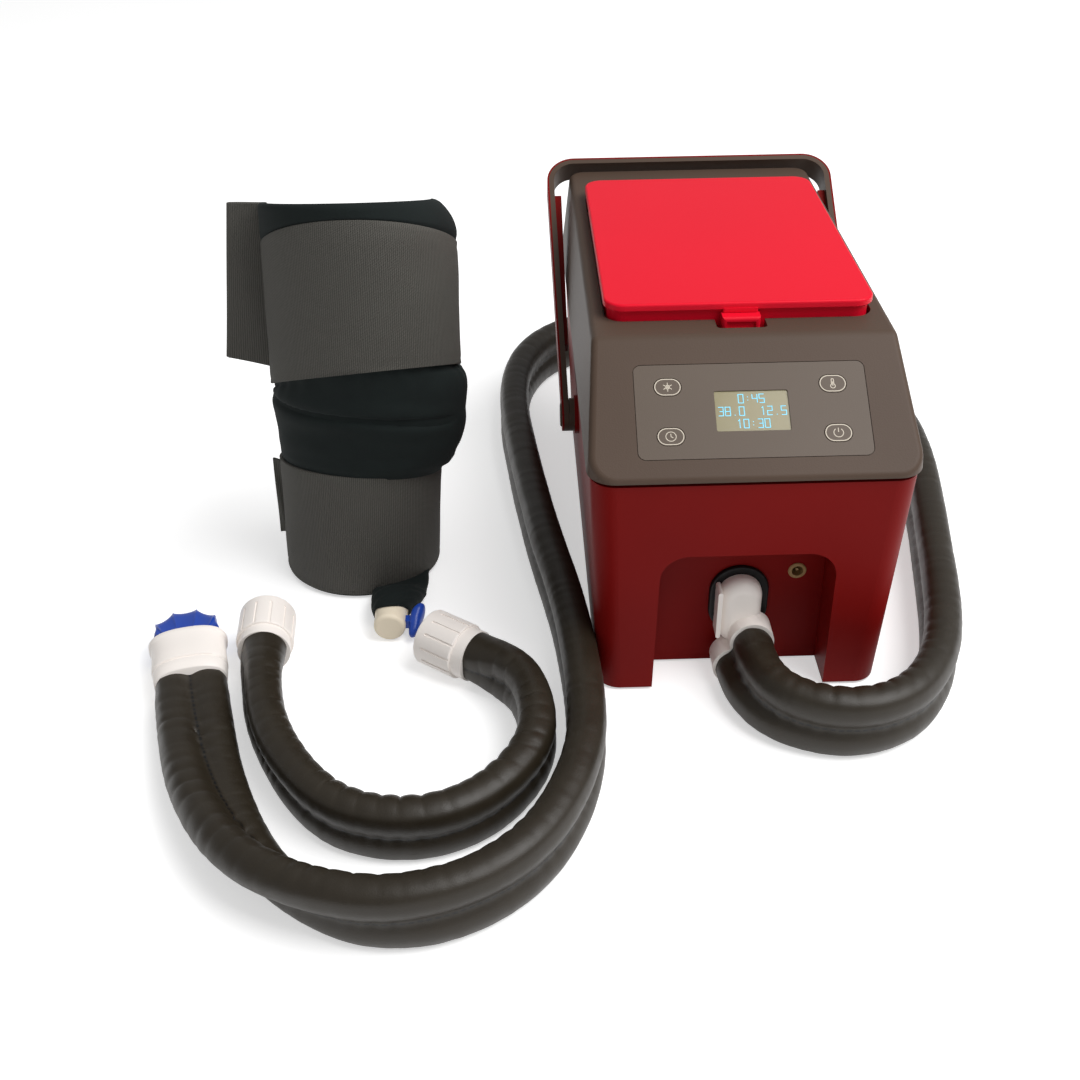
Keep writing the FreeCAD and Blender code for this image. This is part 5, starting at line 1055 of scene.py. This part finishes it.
def buildLever():
    # thumb blade of oval rings, its ends eased by sqrt(1 - (1 - share)^2), and a square stem to the coupling
    stations = np.array(lever["stations"])
    turn = np.linspace(0, 2 * math.pi, 40, endpoint=False)
    way = 0.5 - 0.5 * np.cos(np.linspace(0, math.pi, 36))
    known = np.linspace(0, 1, len(stations))
    x, y, z, thick, high = (np.interp(way, known, stations[:, k]) for k in range(5))
    near = np.clip(np.minimum(way, 1 - way) / lever["roundEnd"], 0, 1)
    near = np.maximum(np.sqrt(1 - (1 - near) ** 2), 0.06)
    across = x[:, None] + (thick * near)[:, None] * squared(np.cos(turn), 0.85)
    up = z[:, None] + (high * near)[:, None] * squared(np.sin(turn), 0.85)
    blade = np.stack(np.broadcast_arrays(across, y[:, None], up), axis=-1)
    start, end, stemY, stemZ, half = lever["stem"]
    corners = [(-half, -half), (half, -half), (half, half), (-half, half)]
    stem = np.array([[(place, stemY + a, stemZ + b) for a, b in corners] for place in (start, end)])
    patches = [patch(blade, True, True, True, flip=True), patch(stem, True, True, True)]
    return makePiece("leverBlade", patches, finish["release_blue"], "wrap_lever", sharp=50)


def buildLining():
    # quilted water pad inside the sleeve, tacked at staggered dots
    cols, rows, tackColumns, tackRows = 112, 72, 9, 8
    angle = np.linspace(0, 2 * math.pi, cols, endpoint=False)
    outerGrow, innerGrow = -wrap["wall"] - 0.0001, -wrap["wall"] - wrap["lining"] * 0.75
    top = slantedHeight(angle, wrap["liningRim"])
    grid, free = [], []
    for step in range(rows):
        share = 0.006 + step / (rows - 1) * 0.994
        u = angle / (2 * math.pi) * tackColumns
        v = step / (rows - 1) * tackRows
        stagger = 0.5 * (int(v + 0.5) % 2)
        near = np.hypot((u + stagger + 0.5) % 1 - 0.5, (v + 0.5) % 1 - 0.5)
        tack = np.exp(-((near / 0.14) ** 2))
        edge = min(1.0, step / 3, (rows - 1 - step) / 3)
        depth = innerGrow + (outerGrow - innerGrow) * 0.7 * np.maximum(tack, 1 - edge)
        grid.append(wrapPlace(angle, top * share, depth, wrap["late"] + 0.002))
        free.append(np.clip(1 - tack * 1.6, 0, 1) * edge)
    for share in np.linspace(0.999, 0.006, 40):
        grid.append(wrapPlace(angle, top * share, outerGrow, wrap["late"]))
        free.append(0 * angle)
    piece = makePiece("wrapLining", [flipped(ringPatch(grid))], finish["bladder_grey"], sharp=180)
    inflate(piece, np.array(free).ravel(), pressure=2.0, frames=16, cap=0.0035, loose=0.02)
    return piece


# a flap's left and right side by x at the low and the high end, its low and high edge by z at the left and
# the right end
flaps = {
    "strapTail": ((-0.3536, -0.3372), (-0.3160, -0.3100), (0.1790, 0.1700), (0.2920, 0.2920)),
    "hookTab": ((-0.3326, -0.3306), (-0.3276, -0.3243), (0.0300, 0.0310), (0.0960, 0.0950)),
}
wrapSleeve = buildSleeve()
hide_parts("wrap_body")
wrapLining = buildLining()
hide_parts("wrap_bladder")
strapLower = buildBand("strapLower", wrap["lowerStrap"], 61)
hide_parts("strap_lower")
strapUpper = buildBand("strapUpper", wrap["upperStrap"], 62)
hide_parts("strap_upper")
tail = buildFlap("strapTail", flaps["strapTail"], middleY=-0.0275, thickness=0.0028, curl=0.002)
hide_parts("strap_tail")
hookTab = buildFlap(
    "hookTab", flaps["hookTab"], middleY=-0.0310, thickness=0.0018, curl=0.001, rows=16, cols=10,
)
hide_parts("hook_tab")
wrapPouch = buildPouch()
leverBlade = buildLever()
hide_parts("wrap_lever")
print("stage: knee wrap built")


# Control panel: printed outlines and icons on the keys, and the lit digits of the display
panel = {
    "edge": (0.0, -0.200, 0.1744),      # middle of the panel's lower edge
    "angle": math.atan2(0.0563, 0.0834),
    "keys": {
        "key_1": (-0.0522, 0.0639), "key_2": (0.0522, 0.0639),
        "key_3": (-0.0522, 0.0294), "key_4": (0.0522, 0.0294),
    },
    "outline": (0.0160, 0.0110),        # width and height of the printed outline on a key
    "keyTop": 0.00015,
    "window": (0.0, 0.0463),    # the display's middle across and up the slope
    "lensTop": -0.0008,
    "printLift": 0.00004,
    "printDepth": 0.0001,       # how far the ink reaches into its key or lens
    "line": 0.0006,
    "iconLine": 0.00051,
    "digitLine": 0.00055,
    "digitShade": (120, 205, 232),
    "digitLight": 0.35,
    "digitSize": (0.0031, 0.0060),
    "digitPitch": 0.0044,
    "rows": ((0.0087, "0:45"), (0.0000, "38.0  12.5"), (-0.0087, "10:30")),
}
# each digit as strokes on a grid two wide and four high
digitStrokes = {
    "0": [[(0, 0), (2, 0), (2, 4), (0, 4), (0, 0)]],
    "1": [[(0.6, 3.2), (1.2, 4), (1.2, 0)]],
    "2": [[(0, 4), (2, 4), (2, 2), (0, 2), (0, 0), (2, 0)]],
    "3": [[(0, 4), (2, 4), (2, 0), (0, 0)], [(0.5, 2), (2, 2)]],
    "4": [[(0, 4), (0, 2), (2, 2)], [(2, 4), (2, 0)]],
    "5": [[(2, 4), (0, 4), (0, 2), (2, 2), (2, 0), (0, 0)]],
    "8": [[(0, 0), (2, 0), (2, 4), (0, 4), (0, 0)], [(0, 2), (2, 2)]],
    ":": [[(1, 1.1), (1, 1.5)], [(1, 2.6), (1, 3.0)]],
    ".": [[(1, 0), (1, 0.4)]],
}


def panelPlaces(points, lift):
    # across stays x; up the slope turns by the panel's angle; lift is square to the panel
    points = np.asarray(points, float)
    cosine, sine = math.cos(panel["angle"]), math.sin(panel["angle"])
    x = panel["edge"][0] + points[..., 0]
    y = panel["edge"][1] + points[..., 1] * cosine - lift * sine
    z = panel["edge"][2] + points[..., 1] * sine + lift * cosine
    return np.stack(np.broadcast_arrays(x, y, z), axis=-1)


def strokePatch(path, width, low, high, closed=False):
    # a flat printed line of even width: mitred sides along the path, top and bottom faces closed
    path = np.asarray(path, float)
    if closed:
        before, after = np.roll(path, 1, axis=0), np.roll(path, -1, axis=0)
    else:
        before = np.concatenate([path[:1] * 2 - path[1:2], path[:-1]])
        after = np.concatenate([path[1:], path[-1:] * 2 - path[-2:-1]])
    first = (path - before) / np.linalg.norm(path - before, axis=1)[:, None]
    second = (after - path) / np.linalg.norm(after - path, axis=1)[:, None]
    sides = np.stack([-(first + second)[:, 1], (first + second)[:, 0]], axis=-1)
    sides /= np.linalg.norm(sides, axis=1)[:, None]
    stretch = 1 / np.maximum(np.abs(first[:, 0] * sides[:, 1] - first[:, 1] * sides[:, 0]), 0.5)
    offset = sides * stretch[:, None] * width / 2
    left, right = path + offset, path - offset
    ring = ((left, high), (left, low), (right, low), (right, high))
    grid = np.stack([panelPlaces(side, lift) for side, lift in ring], axis=1)
    return flipped(ringPatch(grid)) if closed else patch(grid, True, True, True, flip=True)


def pillPath(width, height):
    radius = height / 2
    turn = np.linspace(-math.pi / 2, math.pi / 2, 14)
    right = np.stack([width / 2 - radius + radius * np.cos(turn), radius * np.sin(turn)], axis=-1)
    return np.concatenate([right, -right])


def circlePath(radius, start=0.0, end=2 * math.pi, count=28, closed=True):
    turn = np.linspace(start, end, count, endpoint=not closed)
    return np.stack([radius * np.cos(turn), radius * np.sin(turn)], axis=-1)


def iconPaths(name):
    # generic icons: a snow crystal, a thermometer, a clock and a power sign
    mm = 0.001
    if name == "key_1":
        arms = []
        for k in range(3):
            c, s = math.cos(math.pi * k / 3 + math.pi / 2), math.sin(math.pi * k / 3 + math.pi / 2)
            arms.append(([(-3.1 * c * mm, -3.1 * s * mm), (3.1 * c * mm, 3.1 * s * mm)], False))
        return arms + [(circlePath(1.3 * mm, count=18), True)]
    if name == "key_2":
        bulb = circlePath(1.5 * mm, math.radians(118), math.radians(422), 22, False)
        bulb = bulb + np.array([0, -1.9 * mm])
        stem = circlePath(0.72 * mm, 0.0, math.pi, 9, False) + np.array([0, 2.6 * mm])
        return [(np.concatenate([bulb, stem]), True), ([(0, -1.9 * mm), (0, 1.2 * mm)], False)]
    if name == "key_3":
        return [(circlePath(3.2 * mm), True), ([(0, 1.9 * mm), (0, -0.1 * mm), (1.4 * mm, -0.9 * mm)], False)]
    ring = circlePath(3.0 * mm, math.radians(125), math.radians(415), 26, False)
    return [(ring, False), ([(0, 0.4 * mm), (0, 3.3 * mm)], False)]


printPale = mouldedPlastic("printPale", (206, 196, 180), 0.5, grainDepth=0.0, drift=0.03)
digitGlow = mouldedPlastic("digitGlow", panel["digitShade"], 0.4, grainDepth=0.0)
glowing = digitGlow.node_tree.nodes["Principled BSDF"].inputs
glowing["Emission Color"].default_value = linear(*panel["digitShade"])
glowing["Emission Strength"].default_value = panel["digitLight"]
low, high = panel["keyTop"] - panel["printDepth"], panel["keyTop"] + panel["printLift"]
for keyName, middle in panel["keys"].items():
    marks = [strokePatch(pillPath(*panel["outline"]) + np.array(middle), panel["line"], low, high, True)]
    for path, closed in iconPaths(keyName):
        marks.append(strokePatch(np.asarray(path) + np.array(middle), panel["iconLine"], low, high, closed))
    mark = makePiece(keyName.replace("_", "") + "Print", marks, printPale, body=keyName, sharp=30)
digits = []
low, high = panel["lensTop"] - panel["printDepth"], panel["lensTop"] + panel["printLift"]
cellWidth, cellHeight = panel["digitSize"]
windowX, windowUp = panel["window"]
for rowUp, text in panel["rows"]:
    for index, glyph in enumerate(text):
        left = windowX + (index - (len(text) - 1) / 2) * panel["digitPitch"] - cellWidth / 2
        below = windowUp + rowUp - cellHeight / 2
        for stroke in digitStrokes.get(glyph, []):
            path = [(left + across / 2 * cellWidth, below + up / 4 * cellHeight) for across, up in stroke]
            digits.append(strokePatch(path, panel["digitLine"], low, high))
displayDigits = makePiece("displayDigits", digits, digitGlow, sharp=30)
print("stage: panel printed")


# Floor, backdrop and light
studio = {
    "floorSize": 14.0,
    "floorShade": 0.86,
    "floorGlow": 0.5,
    "keyEnergy": 60.0,
    "keySize": 1.8,
    "keyPlace": (1.15, -0.55, 2.1),
    "keyAim": (-0.05, -0.05, 0.1),
    "worldLight": 0.38,
}


def seenDirectly(tree, *kinds):
    # 1 for camera rays and rays of the given kinds, 0 for light that bounces
    rays = addNode(tree, "LightPath").outputs
    seen = rays["Is Camera Ray"]
    for kind in kinds:
        seen = mathNode(tree, "MAXIMUM", seen, rays[kind])
    return seen


def buildStudio():
    half = studio["floorSize"] / 2
    rows = np.array([[(-half, -half, 0.0), (half, -half, 0.0)], [(-half, half, 0.0), (half, half, 0.0)]])
    points, faces, _ = patch(rows)
    mesh = bpy.data.meshes.new("studioFloor")
    mesh.from_pydata(points.tolist(), [], faces)
    material, tree, shader = newMaterial("studioFloor")
    shader.inputs["Base Color"].default_value = (*[studio["floorShade"]] * 3, 1)
    shader.inputs["Roughness"].default_value = 0.9
    shader.inputs["Specular IOR Level"].default_value = 0.1
    seen = seenDirectly(tree, "Is Glossy Ray", "Is Transmission Ray")
    glow = mathNode(tree, "MULTIPLY", seen, studio["floorGlow"])
    shader.inputs["Emission Color"].default_value = (1, 1, 1, 1)
    tree.links.new(glow, shader.inputs["Emission Strength"])
    mesh.materials.append(material)
    floor = bpy.data.objects.new("studioFloor", mesh)
    bpy.context.scene.collection.objects.link(floor)
    world = bpy.data.worlds.new("studioWorld")
    bpy.context.scene.world = world
    world.use_nodes = True
    sky = world.node_tree
    background = next(n for n in sky.nodes if n.type == "BACKGROUND")
    seen = seenDirectly(sky, "Is Transmission Ray")
    strength = mathNode(sky, "MULTIPLY_ADD", seen, 1.0 - studio["worldLight"], studio["worldLight"])
    sky.links.new(strength, background.inputs["Strength"])
    background.inputs["Color"].default_value = (1, 1, 1, 1)
    data = bpy.data.lights.new("keyLight", "AREA")
    data.energy = studio["keyEnergy"]
    data.size = studio["keySize"]
    lamp = bpy.data.objects.new("keyLight", data)
    bpy.context.scene.collection.objects.link(lamp)
    lamp.location = studio["keyPlace"]
    aim = np.array(studio["keyAim"]) - np.array(studio["keyPlace"])
    lamp.rotation_mode = "QUATERNION"
    lamp.rotation_quaternion = Vector(aim).to_track_quat("-Z", "Y")


buildStudio()
print("stage: studio built")
